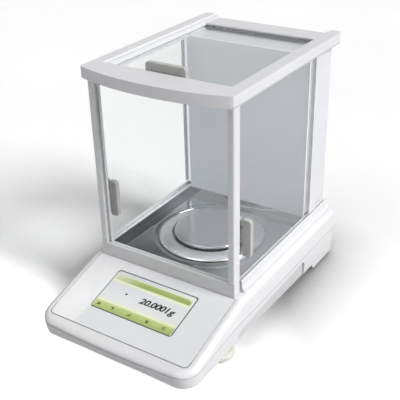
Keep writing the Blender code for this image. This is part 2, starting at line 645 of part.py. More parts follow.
# ----------------------------------------------------- back panel and column
def rear_column():
    """Back panel and the hollow column behind it, closed by a vented cover."""
    soft_block("back_panel", (-83.0, BACK_Y0, CHAMBER_Z0), (83.0, BACK_Y1, CHAMBER_Z1),
               radius=0.6, steps=1, mat=BACK)
    column = soft_block("rear_column", (-COLUMN_HALF, COLUMN_Y0, CHAMBER_Z0),
                        (COLUMN_HALF, COLUMN_Y1, CHAMBER_Z1), radius=5.0, steps=3, mat=WHITE)
    half = COLUMN_HALF - COLUMN_T
    z0, z1 = CHAMBER_Z0 + COLUMN_T, CHAMBER_Z1 - COLUMN_T
    cut(column, block("cut_column", (-half, COLUMN_Y0 + COLUMN_T, z0), (half, 185.0, z1)))
    cut(column, cable_pass("cut_cable_pass", 50.0, 80.0))

    cover_y1 = 174.6
    cover = block("rear_cover", (-half + GAP, 171.9, z0 + GAP),
                  (half - GAP, cover_y1, z1 - GAP), WHITE)
    vent_z, vent_pitch, vent_height = 210.0, 8.0, 3.0
    for i in range(6):
        z = vent_z + vent_pitch * i
        cut(cover, block(f"cut_vent_{i}", (-40.0, 165.0, z), (40.0, 180.0, z + vent_height)))
    head = [(0.0, 0.0), (3.2, 0.0), (3.2, 1.2), (2.2, 2.0), (0.0, 2.0)]
    for number, x in enumerate((-70.0, 70.0), 1):
        centre = (x, cover_y1 + GAP, 80.0)
        turned_along_y(f"rear_cover_screw_{number}", head, 12, centre, ZINC, centre)
    block("power_board", (-55.0, 128.0, 84.0), (55.0, 129.6, 200.0), BOARD)


# -------------------------------------- chamber floor; profiles are (radius, z)
def floor_plate():
    plate = soft_block("chamber_floor_plate", (-83.7, -49.3, CHAMBER_Z0),
                       (83.7, BACK_Y0 - 0.4, FLOOR_TOP), radius=1.0, steps=1, mat=STEEL)
    cut(plate, disc("cut_spindle", 9.0, 20, (0.0, PAN_Y), "z", 60.0, 75.0))


def draft_ring():
    low = FLOOR_TOP + GAP
    profile = [
        (RING_R0, low), (RING_R1 - 0.6, low), (RING_R1, 68.6), (RING_R1 - 1.2, 70.0),
        (RING_R1 - 5.0, 71.2), (RING_R0 + 5.0, RING_Z1 - 0.3),
        (RING_R0 + 1.5, RING_Z1), (RING_R0, RING_Z1 - 0.7),
    ]
    turned("draft_ring", profile, 40, (0.0, PAN_Y), STEEL)


def weighing_pan():
    rim_inner, hub_r = PAN_R - 1.2, 5.4
    rim_low, plate_low, hub_low = PAN_TOP - 4.0, PAN_TOP - 1.6, PAN_TOP - 2.9
    profile = [
        (0.0, PAN_TOP), (PAN_R - 1.0, PAN_TOP), (PAN_R, PAN_TOP - 0.8), (PAN_R, rim_low),
        (rim_inner, rim_low), (rim_inner, plate_low), (hub_r, plate_low),
        (hub_r, hub_low), (0.0, hub_low),
    ]
    turned("weighing_pan", profile, 40, (0.0, PAN_Y), PAN)


def pan_support():
    profile = [
        (0.0, 58.4), (3.0, 58.4), (3.0, 69.5), (8.0, 71.2), (26.0, 71.2),
        (26.0, 74.1), (5.8, 74.1), (5.8, 72.8), (0.0, 72.8),
    ]
    turned("pan_support", profile, 20, (0.0, PAN_Y), ALUMINIUM)


# -------------------------------------------------------------- weighing cell
def cell_base():
    """Floor, rear upright and a fulcrum narrowed from both sides."""
    section = [   # y, z
        (24.0, 16.0), (150.0, 16.0), (150.0, 60.0), (112.0, 60.0), (112.0, 20.4),
        (66.0, 20.4), (65.0, 36.0), (59.0, 36.0), (58.0, 20.4), (24.0, 20.4),
    ]
    base = prism("cell_base", section, "x", -26.0, 26.0, ALUMINIUM)
    for tag, side in SIDES:
        x0, x1 = span(side, 8.0, 30.0)
        cut(base, block(f"cut_fulcrum_{tag}", (x0, 55.0, 21.0), (x1, 69.0, 45.0)))


def hanger():
    body = block("hanger", (-12.0, PAN_Y - 6.0, 22.4), (12.0, PAN_Y + 6.0, 56.0), ALUMINIUM,
                 origin=(0.0, PAN_Y, 56.0))
    fuse(body, disc("hanger_boss", 6.0, 14, (0.0, PAN_Y), "z", 54.0, 62.4))
    cut(body, disc("cut_hanger_socket", 3.4, 14, (0.0, PAN_Y), "z", 57.6, 70.0))


def guides():
    """Two flat open frames, one above the other."""
    thickness = 1.2
    for name, z in (("upper_guide", 52.6), ("lower_guide", 25.4)):
        guide = block(name, (-24.0, 43.2, z), (24.0, 111.2, z + thickness), SPRING,
                      origin=(0.0, 111.6, z + thickness / 2))
        cut(guide, block(f"cut_{name}", (-17.2, 52.0, z - 3), (17.2, 106.0, z + 5)))


def lever_and_magnet():
    """Lever beam on its pivot, the coil that shares its origin, magnet and sensor."""
    lever = [   # y, z
        (43.4, 38.0), (54.0, 38.0), (60.5, 37.0), (63.5, 37.0),
        (70.0, 38.4), (106.4, 38.4), (106.4, 42.6), (43.4, 43.6),
    ]
    prism("lever_beam", lever, "x", -5.0, 5.0, ALUMINIUM, LEVER_PIVOT)
    coil = [(8.0, 24.9), (10.6, 24.9), (10.6, 38.1), (8.0, 38.1)]
    turned("force_coil", coil, 24, (0.0, MAGNET_Y), COPPER, LEVER_PIVOT)
    pot = [
        (0.0, 20.7), (14.6, 20.7), (14.6, 35.0), (12.2, 35.0),
        (12.2, 23.2), (6.4, 23.2), (6.4, 35.0), (0.0, 35.0),
    ]
    turned("magnet_pot", pot, 24, (0.0, MAGNET_Y), MAGNET)
    block("position_sensor", (-6.0, 107.6, 35.0), (6.0, 111.7, 46.0), BLACK)


# ------------------------------------------------------------------ rear ports
def rear_ports():
    serial = block("serial_port", (SERIAL_X0, 164.0, SERIAL_Z0), (SERIAL_X1, 177.2, SERIAL_Z1))
    face = [(26.0, 48.8), (46.0, 48.8), (48.0, 57.2), (24.0, 57.2)]   # x, z
    cut(serial, prism("cut_serial_face", face, "y", 171.0, 190.0))
    jack = [(JACK_R, 0.0), (JACK_R, 12.4), (3.0, 12.4), (3.0, 3.0), (0.0, 3.0), (0.0, 0.0)]
    turned_along_y("power_jack", jack, 14, (JACK_X, 164.8, JACK_Z), BLACK,
                   (JACK_X, 171.0, JACK_Z))


# ------------------------------------- feet and screws; profiles are (radius, z)
WHEEL_PROFILE = [
    (0.0, 1.8), (2.8, 1.8), (2.8, WHEEL_Z0), (WHEEL_R - 1.2, WHEEL_Z0),
    (WHEEL_R, WHEEL_Z0 + 1.4), (WHEEL_R, WHEEL_Z1 - 2.0), (WHEEL_R - 2.0, WHEEL_Z1),
    (STEM_R, WHEEL_Z1), (STEM_R, STEM_TOP), (0.0, STEM_TOP),
]
PAD_PROFILE = [
    (0.0, 0.0), (11.4, 0.0), (12.0, 0.8), (12.0, 2.8),
    (11.0, 3.7), (3.3, 3.7), (3.3, 1.4), (0.0, 1.4),
]
NUT_PROFILE = [(STEM_R + 0.4, 15.8), (8.0, 15.8), (8.0, 24.0), (STEM_R + 0.4, 24.0)]
REAR_FOOT_PROFILE = [(0.0, 0.0), (9.2, 0.0), (10.0, 0.9), (10.0, 4.7), (0.0, 4.7)]


def feet(tag, side):
    centre = (side * FOOT_X, FOOT_Y)
    turned(f"{tag}_levelling_wheel", WHEEL_PROFILE, 28, centre, WHEEL, (*centre, WHEEL_Z0))
    turned(f"{tag}_foot_pad", PAD_PROFILE, 20, centre, RUBBER)
    turned(f"{tag}_foot_nut", NUT_PROFILE, 12, centre, BRASS)
    turned(f"{tag}_rear_foot", REAR_FOOT_PROFILE, 20, (side * REAR_FOOT_X, REAR_FOOT_Y), RUBBER)


def tray_screws():
    for number, (x, y) in enumerate(SCREWS, 1):
        low = z_bottom(y)
        top = min(z_top(y) - COVER_T - 4.5, low + 26.0)
        profile = [
            (0.0, low - 2.6), (3.0, low - 2.6), (3.6, low - 1.9), (3.6, low - 0.3),
            (1.6, low - 0.3), (1.6, top), (0.0, top),
        ]
        turned(f"tray_screw_{number}", profile, 12, (x, y), ZINC)


upper_cover()
lower_tray()
console()
main_board()
ribbon_cable()
front_sill()
for side_name, side_sign in SIDES:
    for build in (front_post, lower_rail, side_door, side_door_handle, side_door_trim, feet):
        build(side_name, side_sign)
front_glass()
roof_frame()
rear_top_cap()
top_door()
rear_column()
floor_plate()
draft_ring()
weighing_pan()
pan_support()
cell_base()
hanger()
guides()
lever_and_magnet()
rear_ports()
tray_screws()

# The dimensions are drawn about the chamber; the origin belongs at mid-length
for piece in bpy.data.objects:
    piece.location.y += SHIFT_Y * MM
bpy.context.view_layer.update()
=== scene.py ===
"""Looks of an analytical balance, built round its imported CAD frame.

The front with the sloping console faces -Y, +X is the right-hand side and +Z is up. Pieces
are drawn in mm about the weighing chamber, then moved by SHIFT along Y.
"""

import math

import bmesh
import bpy
from mathutils import Matrix, Vector


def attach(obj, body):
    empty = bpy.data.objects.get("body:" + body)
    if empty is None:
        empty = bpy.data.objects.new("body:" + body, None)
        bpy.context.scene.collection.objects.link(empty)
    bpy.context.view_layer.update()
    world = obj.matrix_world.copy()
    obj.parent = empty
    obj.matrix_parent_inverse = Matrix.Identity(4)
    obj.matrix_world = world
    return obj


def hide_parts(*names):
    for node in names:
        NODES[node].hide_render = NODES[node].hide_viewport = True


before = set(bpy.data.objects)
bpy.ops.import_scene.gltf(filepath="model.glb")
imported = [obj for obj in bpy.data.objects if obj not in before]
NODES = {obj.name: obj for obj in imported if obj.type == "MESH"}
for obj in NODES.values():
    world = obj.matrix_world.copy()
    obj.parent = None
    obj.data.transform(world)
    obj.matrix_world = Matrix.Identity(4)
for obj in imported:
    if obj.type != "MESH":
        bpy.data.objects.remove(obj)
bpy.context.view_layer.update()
MM = 0.001

# ---------------------------------------------------------------- dimensions (mm)
# HALF is half a width across X; Y0 and Y1 are the front and rear ends
SHIFT = -3.75
BODY_HALF, BODY_Y0, BODY_Y1 = 101.0, -170.5, 178.0
FRONT_BOW, FRONT_R, REAR_R = 0.0004, 21.0, 12.0     # the bow is y per x squared
BASE_TOP = 66.0
SLOPE_Y0, SLOPE_Z0, SLOPE_Y1, SLOPE_Z1 = -155.0, 39.6, -62.0, 65.0
SLOPE = math.atan2(SLOPE_Z1 - SLOPE_Z0, SLOPE_Y1 - SLOPE_Y0)
SLOPE_COS, SLOPE_SIN = math.cos(SLOPE), math.sin(SLOPE)
SLOPE_BLEND = 4.2                                   # half-length of the bend into the deck
# parting line between cover and tray: its heights and the stretch over which it rises
PART_FRONT, PART_REAR, PART_Y0, PART_Y1 = 31.0, 40.3, -178.0, -68.0
PART_GAP, LIP_R = 0.15, 0.75                        # half gap, and rounding beside it
TRAY_BOTTOM, BLOCK_BOTTOM = 12.5, 5.0
COVER_T, TRAY_T = 2.6, 4.6                          # wall thicknesses
CROWN_FRONT, CROWN_SIDE = 7.5, 6.5                  # rounding of the cover's top edge
# the console is measured in u across, v up the slope and w out of it
LABEL_HALF, LABEL_V0, LABEL_V1, LABEL_R = 91.5, -2.4, 95.6, 6.0
SCREEN_HALF, SCREEN_V0, SCREEN_V1 = 54.0, 24.6, 81.6
ROOF_TOP, ROOF_BOTTOM, ROOF_HALF = 294.0, 281.5, 92.4
ROOF_FRONT, ROOF_BOW, ROOF_REAR, ROOF_REAR_R = -67.5, 14.0, 176.0, 5.0
ROOF_IN_HALF, ROOF_IN_FRONT = 74.5, -46.0
POST_Y1 = -51.0
PAN_Y, PAN_R, PAN_TOP = 36.0, 45.0, 76.0
RING_R0, RING_R1, RING_TOP = 48.0, 64.0, 72.6
FLOOR_TOP = 67.5
FOOT_X, FOOT_Y = 82.5, -85.0
WHEEL_R, WHEEL_Z0, WHEEL_Z1, STEM_R, STEM_TOP = 18.3, 4.2, 12.4, 4.0, 33.0
HANDLE_Y0, HANDLE_Y1, HOLLOW_DEPTH = -45.2, -39.6, 0.45
HANDLE_Y = (HANDLE_Y0 + HANDLE_Y1) / 2
TOP_GLASS_Z0 = 283.7


# ================================================================== shader nodes
def linear(tone):
    """Linear RGBA from three sRGB values of 0-255; four numbers are linear already."""
    if len(tone) == 4:
        return tone

    def channel(c):
        c /= 255.0
        return c / 12.92 if c <= 0.04045 else ((c + 0.055) / 1.055) ** 2.4
    return (*[channel(c) for c in tone], 1.0)


def toned(tone, gain, lift=0, top=255):
    return tuple(min(c * gain + lift, top) for c in tone)


class Shading:
    """One material, strung together from nodes. Coordinates are in metres."""

    def __init__(self, name):
        self.material = bpy.data.materials.new(name)
        self.material.use_nodes = True
        self.tree = self.material.node_tree
        self.tree.nodes.clear()
        self.output = self.tree.nodes.new("ShaderNodeOutputMaterial")
        self.sources = {}

    def node(self, kind, **properties):
        node = self.tree.nodes.new("ShaderNode" + kind)
        for key, value in properties.items():
            setattr(node, key, value)
        return node

    def put(self, socket, value):
        if isinstance(value, bpy.types.NodeSocket):
            self.tree.links.new(value, socket)
        else:
            socket.default_value = linear(value) if socket.type == "RGBA" else value

    def fed(self, kind, **inputs):
        """A node with its inputs given by name; None leaves an input alone."""
        node = self.node(kind)
        for key, value in inputs.items():
            if value is not None:
                self.put(node.inputs[key.replace("_", " ")], value)
        return node

    def source(self, kind, output):
        """Output of a node that the whole material shares."""
        if kind not in self.sources:
            self.sources[kind] = self.node(kind)
        return self.sources[kind].outputs[output]

    def place(self):
        return self.source("TexCoord", "Object")

    def normal(self):
        return self.source("NewGeometry", "Normal")

    def calc(self, operation, a, b=0.0, c=None, clamp=False):
        node = self.node("Math", operation=operation, use_clamp=clamp)
        for socket, value in zip(node.inputs, (a, b, c)):
            if value is not None:
                self.put(socket, value)
        return node.outputs[0]

    def add(self, a, b):
        return self.calc("ADD", a, b)

    def sub(self, a, b):
        return self.calc("SUBTRACT", a, b)

    def mul(self, a, b):
        return self.calc("MULTIPLY", a, b)

    def max(self, a, b):
        return self.calc("MAXIMUM", a, b)

    def abs(self, a):
        return self.calc("ABSOLUTE", a)

    def hypot(self, a, b):
        return self.calc("SQRT", self.add(self.mul(a, a), self.mul(b, b)))

    def vector(self, operation, a, b):
        node = self.node("VectorMath", operation=operation)
        self.put(node.inputs[0], a)
        self.put(node.inputs[1], b)
        return node.outputs["Value" if operation == "DOT_PRODUCT" else "Vector"]

    def noise(self, vector, scale=1.0, detail=2.0, rough=0.5, dist=0.0):
        return self.fed("TexNoise", Vector=vector, Scale=scale, Detail=detail,
                        Roughness=rough, Distortion=dist).outputs["Fac"]

    def grain(self, scale, **settings):
        """Even noise in object coordinates."""
        return self.noise(self.place(), scale, **settings)

    def clouds(self, scales, **settings):
        """Noise with its own scale along each axis."""
        return self.noise(self.vector("MULTIPLY", self.place(), scales), **settings)

    def remap(self, value, span, result=(0.0, 1.0), smooth=False):
        """Carry value from span to result, held at both ends."""
        node = self.fed("MapRange", Value=value, From_Min=span[0], From_Max=span[1],
                        To_Min=result[0], To_Max=result[1])
        node.interpolation_type = "SMOOTHSTEP" if smooth else "LINEAR"
        return node.outputs["Result"]

    def mix(self, factor, a, b, blend="MIX"):
        node = self.node("Mix", data_type="RGBA", blend_type=blend)
        for index, value in ((0, factor), (6, a), (7, b)):
            self.put(node.inputs[index], value)
        return node.outputs[2]

    def tint(self, color, value, span, amount, tone):
        """Bring in up to amount of tone as value crosses span."""
        return self.mix(self.remap(value, span, (0.0, amount)), color, tone)

    def xyz(self):
        node = self.node("SeparateXYZ")
        self.put(node.inputs[0], self.place())
        return node.outputs[0], node.outputs[1], node.outputs[2]

    def combine(self, x, y, z):
        return self.fed("CombineXYZ", X=x, Y=y, Z=z).outputs[0]

    def edge(self, radius, gain):
        """1 on edges, 0 on flats, from the difference a rounded normal makes."""
        bevel = self.node("Bevel", samples=4)
        bevel.inputs["Radius"].default_value = radius
        dot = self.vector("DOT_PRODUCT", bevel.outputs["Normal"], self.normal())
        return self.calc("MULTIPLY", self.sub(1.0, dot), gain, clamp=True)

    def bump(self, height, strength, distance, normal=None):
        return self.fed("Bump", Height=height, Strength=strength, Distance=distance,
                        Normal=normal).outputs["Normal"]

    def principled(self, **inputs):
        return self.fed("BsdfPrincipled", **inputs)

    def mix_shader(self, factor, a, b):
        node = self.node("MixShader")
        for socket, value in zip(node.inputs, (factor, a.outputs[0], b.outputs[0])):
            self.put(socket, value)
        return node

    def done(self, shader, view_tone):
        self.tree.links.new(shader.outputs[0], self.output.inputs["Surface"])
        self.material.diffuse_color = linear(view_tone)
        return self.material


# ============================================================== kinds of material
MIDDLE = (0.3, 0.7)     # the span that most of a noise lies in


def plastic(name, tone, alt, rough, grain, grain_bump, edge_tone=None, dirt=0.5,
            shade=None, glow=None):
    """Moulded plastic: fine grain, slight flow marks, soiling and polished edges."""
    mat = Shading(name)
    broad = mat.clouds((9, 7, 11), detail=4.0, rough=0.55)
    marks = mat.clouds((90, 70, 90), detail=3.0, rough=0.6)
    fine = mat.grain(grain, detail=2.0, rough=0.65)
    pits = mat.grain(grain * 0.31, detail=3.0, rough=0.7)
    color = mat.mix(mat.remap(broad, (0.34, 0.68)), tone, alt)
    color = mat.tint(color, marks, (0.45, 0.85), 0.30, toned(tone, 0.955))
    color = mat.tint(color, fine, (0.42, 0.80), 0.16, toned(tone, 0.90))
    soil = mat.remap(mat.clouds((26, 26, 34), detail=6.0, rough=0.7), (0.56, 0.80))
    color = mat.mix(mat.mul(soil, 0.10 * dirt), color,
                    (tone[0] * 0.80, tone[1] * 0.79, tone[2] * 0.765))
    edge = mat.edge(radius=0.0011, gain=5.0)
    color = mat.mix(mat.mul(edge, 0.55), color, edge_tone or toned(tone, 1.035))
    # painted shade by position, towards a darker copy of the tone
    if shade is not None:
        color = mat.mix(shade(mat), color, toned(tone, 0.74))
    roughness = mat.add(mat.remap(marks, MIDDLE, (rough - 0.05, rough + 0.06)),
                        mat.remap(fine, MIDDLE, (-0.03, 0.03)))
    roughness = mat.calc("SUBTRACT", roughness, mat.mul(edge, 0.10), clamp=True)
    normal = mat.bump(fine, strength=grain_bump, distance=0.00010)
    normal = mat.bump(pits, strength=grain_bump * 0.8, distance=0.00014, normal=normal)
    normal = mat.bump(marks, strength=0.05, distance=0.0004, normal=normal)
    shader = mat.principled(Base_Color=color, Roughness=roughness, Normal=normal,
                            Specular_IOR_Level=0.45, Coat_Roughness=0.25)
    if glow is not None:
        # painted light: an emission in the surface's own colour, brightening parts that lie in
        # shade
        mat.put(shader.inputs["Emission Color"], color)
        mat.put(shader.inputs["Emission Strength"], glow(mat))
    return mat.done(shader, tone)


def metal(name, tone, alt, rough, lines=1500.0, along=None, turned_y=None, bump=0.10,
          spots=0.3, shade=None):
    """Metal brushed along an axis, turned about x = 0 and y = turned_y, or with even grain."""
    mat = Shading(name)
    if turned_y is None:
        marks = mat.clouds([18 if axis == along else lines for axis in "xyz"],
                           detail=3.0, rough=0.65)
    else:
        x, y, z = mat.xyz()
        dx, dy = mat.sub(x, 0.0), mat.sub(y, turned_y * MM)
        radius = mat.hypot(dx, dy)
        turn = mat.calc("ARCTAN2", dy, dx)
        marks = mat.noise(mat.combine(mat.mul(radius, lines), mat.mul(turn, 1.2),
                                      mat.mul(z, lines)), detail=3.0, rough=0.65)
    soft = mat.clouds((30, 30, 30), detail=4.0, rough=0.6)
    smear = mat.clouds((60, 22, 60), detail=5.0, rough=0.7, dist=0.6)
    color = mat.mix(mat.remap(marks, (0.30, 0.72)), tone, alt)
    color = mat.tint(color, soft, (0.5, 0.85), 0.5 * spots, toned(tone, 0.86))
    edge = mat.edge(radius=0.0007, gain=6.0)
    color = mat.mix(mat.mul(edge, 0.5), color, toned(alt, 1.14, top=250))
    # painted shade by position, towards a darker copy of the tone
    if shade is not None:
        color = mat.mix(shade(mat), color, toned(tone, 0.70))
    roughness = mat.add(mat.remap(marks, MIDDLE, (rough - 0.04, rough + 0.05)),
                        mat.remap(smear, (0.45, 0.8), (0.0, 0.10 * spots)))
    normal = mat.bump(marks, strength=bump, distance=0.00006)
    normal = mat.bump(soft, strength=0.04, distance=0.0006, normal=normal)
    shader = mat.principled(Base_Color=color, Metallic=1.0, Roughness=roughness,
                            Normal=normal)
    return mat.done(shader, tone)


def rubber(name, tone):
    """Dusty rubber with paler edges."""
    mat = Shading(name)
    fine = mat.grain(1900.0, detail=4.0, rough=0.7)
    broad = mat.clouds((70, 70, 90), detail=4.0, rough=0.6)
    dust = mat.mul(mat.remap(broad, (0.5, 0.75)), mat.remap(fine, (0.35, 0.7)))
    color = mat.mix(mat.remap(fine, (0.35, 0.75)), tone, toned(tone, 1.35, 4))
    color = mat.mix(mat.mul(dust, 0.22), color, (150, 147, 140))
    color = mat.mix(mat.mul(mat.edge(radius=0.0009, gain=5.0), 0.4), color,
                    toned(tone, 1.6, 12))
    shader = mat.principled(Base_Color=color, Roughness=mat.remap(fine, MIDDLE, (0.72, 0.88)),
                            Normal=mat.bump(fine, strength=0.30, distance=0.00015))
    return mat.done(shader, tone)


def board(name, second_axis):
    """Circuit board lying in x and a second axis (1 is y, 2 is z): tracks and pads."""
    tone, trace = (18, 82, 46), (34, 118, 70)
    mat = Shading(name)
    position = mat.xyz()

    def cells(scale, output, **properties):
        node = mat.node("TexVoronoi", **properties)
        mat.put(node.inputs["Vector"], mat.combine(
            mat.mul(position[0], scale), mat.mul(position[second_axis], scale), 0.0))
        return node.outputs[output]

    edges = cells(260.0, "Distance", feature="DISTANCE_TO_EDGE", distance="MANHATTAN")
    tracks = mat.remap(edges, (0.03, 0.06), (1.0, 0.0))
    pads = mat.remap(cells(420.0, "Distance", feature="F1"), (0.13, 0.17), (1.0, 0.0))
    grain = mat.grain(1500.0, detail=3.0, rough=0.6)
    color = mat.mix(mat.remap(grain, (0.35, 0.7)), tone, toned(tone, 0.82))
    color = mat.mix(mat.mul(tracks, 0.7), color, trace)
    color = mat.mix(pads, color, (190, 186, 170))
    shader = mat.principled(
        Base_Color=color, Metallic=mat.mul(pads, 0.9),
        Normal=mat.bump(mat.add(tracks, pads), strength=0.25, distance=0.00008),
        Roughness=mat.remap(grain, MIDDLE, (0.32, 0.46)))
    return mat.done(shader, tone)


def glass(name, axis, haze):
    """Flat clear sheet facing axis: wiping marks on its faces, pale ground edges."""
    mat = Shading(name)
    facing = mat.abs(mat.vector("DOT_PRODUCT", mat.normal(), axis))
    face = mat.remap(facing, (0.80, 0.93))
    grazing = mat.fed("LayerWeight", Blend=0.5).outputs["Facing"]
    mirror = mat.calc("MULTIPLY_ADD", mat.calc("POWER", grazing, 5.0), 0.80, 0.024, clamp=True)
    wipe = mat.clouds((14, 14, 5), detail=6.0, rough=0.72, dist=1.4)
    fine = mat.clouds((160, 160, 40), detail=4.0, rough=0.7)
    streak = mat.mul(mat.remap(wipe, (0.46, 0.74)), mat.remap(fine, (0.35, 0.8)))
    clear = mat.fed("BsdfTransparent", Color=(0.996, 0.998, 0.998, 1.0))
    gloss = mat.fed("BsdfGlossy", Color=(0.97, 0.985, 0.98, 1.0),
                    Roughness=mat.remap(streak, (0.0, 0.8), (0.02, 0.10)))
    film = mat.fed("BsdfDiffuse", Color=(0.86, 0.88, 0.88, 1.0))
    sheet = mat.mix_shader(mirror, clear, gloss)
    sheet = mat.mix_shader(mat.calc("MULTIPLY_ADD", streak, haze * 1.8, haze * 0.4), sheet, film)
    rim = mat.principled(
        Base_Color=mat.mix(mat.remap(fine, MIDDLE), (196, 202, 203), (222, 226, 227)),
        Roughness=mat.remap(fine, MIDDLE, (0.18, 0.34)),
        Normal=mat.bump(fine, strength=0.15, distance=0.0001), Alpha=0.35)
    return mat.done(mat.mix_shader(face, rim, sheet), (0.9, 0.95, 0.94, 1.0))


def ribbon(name):
    """Flat cable with its cores side by side across x."""
    pitch = 0.00127
    mat = Shading(name)
    x = mat.xyz()[0]
    wave = mat.calc("SINE", mat.mul(x, 2 * math.pi / pitch))
    grain = mat.grain(1400.0, detail=3.0, rough=0.6)
    color = mat.mix(mat.remap(wave, (-0.9, -0.5)), (120, 122, 126), (186, 188, 192))
    color = mat.tint(color, grain, (0.4, 0.8), 0.3, (150, 151, 154))
    shader = mat.principled(Base_Color=color, Roughness=mat.remap(grain, MIDDLE, (0.5, 0.62)),
                            Normal=mat.bump(wave, strength=0.5, distance=0.0004))
    return mat.done(shader, (160, 162, 165))


def ink(name, tone, alt):
    mat = Shading(name)
    grain = mat.grain(900.0, detail=3.0, rough=0.6)
    shader = mat.principled(Base_Color=mat.mix(mat.remap(grain, MIDDLE), tone, alt),
                            Roughness=mat.remap(grain, MIDDLE, (0.3, 0.42)),
                            Normal=mat.bump(grain, strength=0.05, distance=0.00005))
    return mat.done(shader, tone)


# ------------------------------------------------------- painted shade and glow by position
def seam_shade(mat):
    """Painted shade along the parting line and in the side recess of the base."""
    x, y, z = mat.xyz()
    seam = mat.remap(y, (PART_Y0 * MM, PART_Y1 * MM), (PART_FRONT * MM, PART_REAR * MM),
                     smooth=True)
    distance = mat.abs(mat.sub(z, seam))
    patches = mat.clouds((60, 60, 60), detail=4.0, rough=0.6)
    line = mat.mul(mat.remap(distance, (0.00055, 0.0013), (0.72, 0.0), smooth=True),
                   mat.remap(patches, (0.2, 0.7), (0.75, 1.0)))
    recess = mat.mul(mat.remap(mat.abs(x), (0.0986, 0.0982), (0.0, 0.42)),
                     mat.remap(z, (0.0395, 0.0385)))
    recess = mat.mul(recess, mat.remap(y, (-0.080, -0.072)))
    recess = mat.mul(recess, mat.remap(y, (0.094, 0.087)))
    return mat.max(line, recess)


def eave_shade(mat):
    """Painted shade along the lower edge of the roof frame's long sides."""
    x, y, z = mat.xyz()
    low = mat.remap(z, (0.2836, 0.2824), (0.0, 0.62), smooth=True)
    low = mat.mul(low, mat.remap(z, (0.2790, 0.2800)))
    return mat.mul(low, mat.remap(mat.abs(x), (0.0905, 0.0915)))


def floor_shade(mat):
    """Painted shade standing in for a dark reflection: darker towards the front of the chamber
    floor, except at its right side.
    """
    return mat.mul(mat.remap(mat.xyz()[1], (0.088, 0.018), (0.0, 0.95), smooth=True),
                   mat.remap(mat.xyz()[0], (0.062, 0.026), smooth=True))


def side_glow(span, strength):
    """Painted glow, an emission standing in for light, that sets in over a span of distance from
    the middle plane.
    """
    return lambda mat: mat.remap(mat.abs(mat.xyz()[0]), span, (0.0, strength))


# ---------------------------------------------------------------- console printing
def slope_uv(mat):
    """Console coordinates u and v in mm."""
    u = mat.mul(mat.xyz()[0], 1000.0)
    along = mat.vector("DOT_PRODUCT", mat.place(),
                       (0.0, SLOPE_COS * 1000.0, SLOPE_SIN * 1000.0))
    return u, mat.sub(along, SLOPE_Y0 * SLOPE_COS + SLOPE_Z0 * SLOPE_SIN)


def corner_distance(mat, past_u, past_v):
    """Distance from a corner's centre, from the signed distances past it."""
    return mat.hypot(mat.max(past_u, 0.0), mat.max(past_v, 0.0))


def label_material():
    """Printed overlay: matt texture, lighter field at the left, pale grey at the right."""
    mat = Shading("label_film_printed")
    u, v = slope_uv(mat)
    fine = mat.grain(2900.0, detail=2.0, rough=0.6)
    marks = mat.clouds((60, 60, 60), detail=4.0, rough=0.6)
    # the boundary runs from the lower left corner of the display to the front edge
    past = mat.sub(u, mat.calc("MULTIPLY_ADD", v, 0.10, -57.0))
    low = mat.remap(v, (25.5, 23.0))
    grey = mat.mul(mat.remap(past, (-0.8, 0.8)), low)
    right = mat.remap(u, (-48.0, 62.0), smooth=True)
    grey = mat.max(mat.mul(grey, 0.92), right)
    color = mat.mix(grey, (237, 237, 238), (218, 219, 221))
    color = mat.tint(color, marks, (0.4, 0.8), 0.25, (208, 209, 212))
    color = mat.tint(color, fine, (0.45, 0.8), 0.15, (194, 195, 198))
    # painted shade line along the front edge, for the shadow in the gap between film and cover,
    # and, fainter, up both sides
    distance = corner_distance(mat, mat.sub(mat.abs(u), LABEL_HALF - LABEL_R),
                               mat.sub(LABEL_R + LABEL_V0, v))
    line = mat.remap(distance, (LABEL_R - 1.15, LABEL_R - 0.75), smooth=True)
    fade = mat.remap(v, (2.0, 16.0), (1.0, 0.30), smooth=True)
    color = mat.mix(mat.mul(line, fade), color, (128, 129, 131))
    color = mat.mix(mat.mul(mat.edge(radius=0.0005, gain=6.0), 0.5), color, (150, 151, 154))
    shader = mat.principled(Base_Color=color, Roughness=mat.remap(marks, MIDDLE, (0.34, 0.44)),
                            Normal=mat.bump(fine, strength=0.10, distance=0.00008))
    return mat.done(shader, (228, 229, 231))


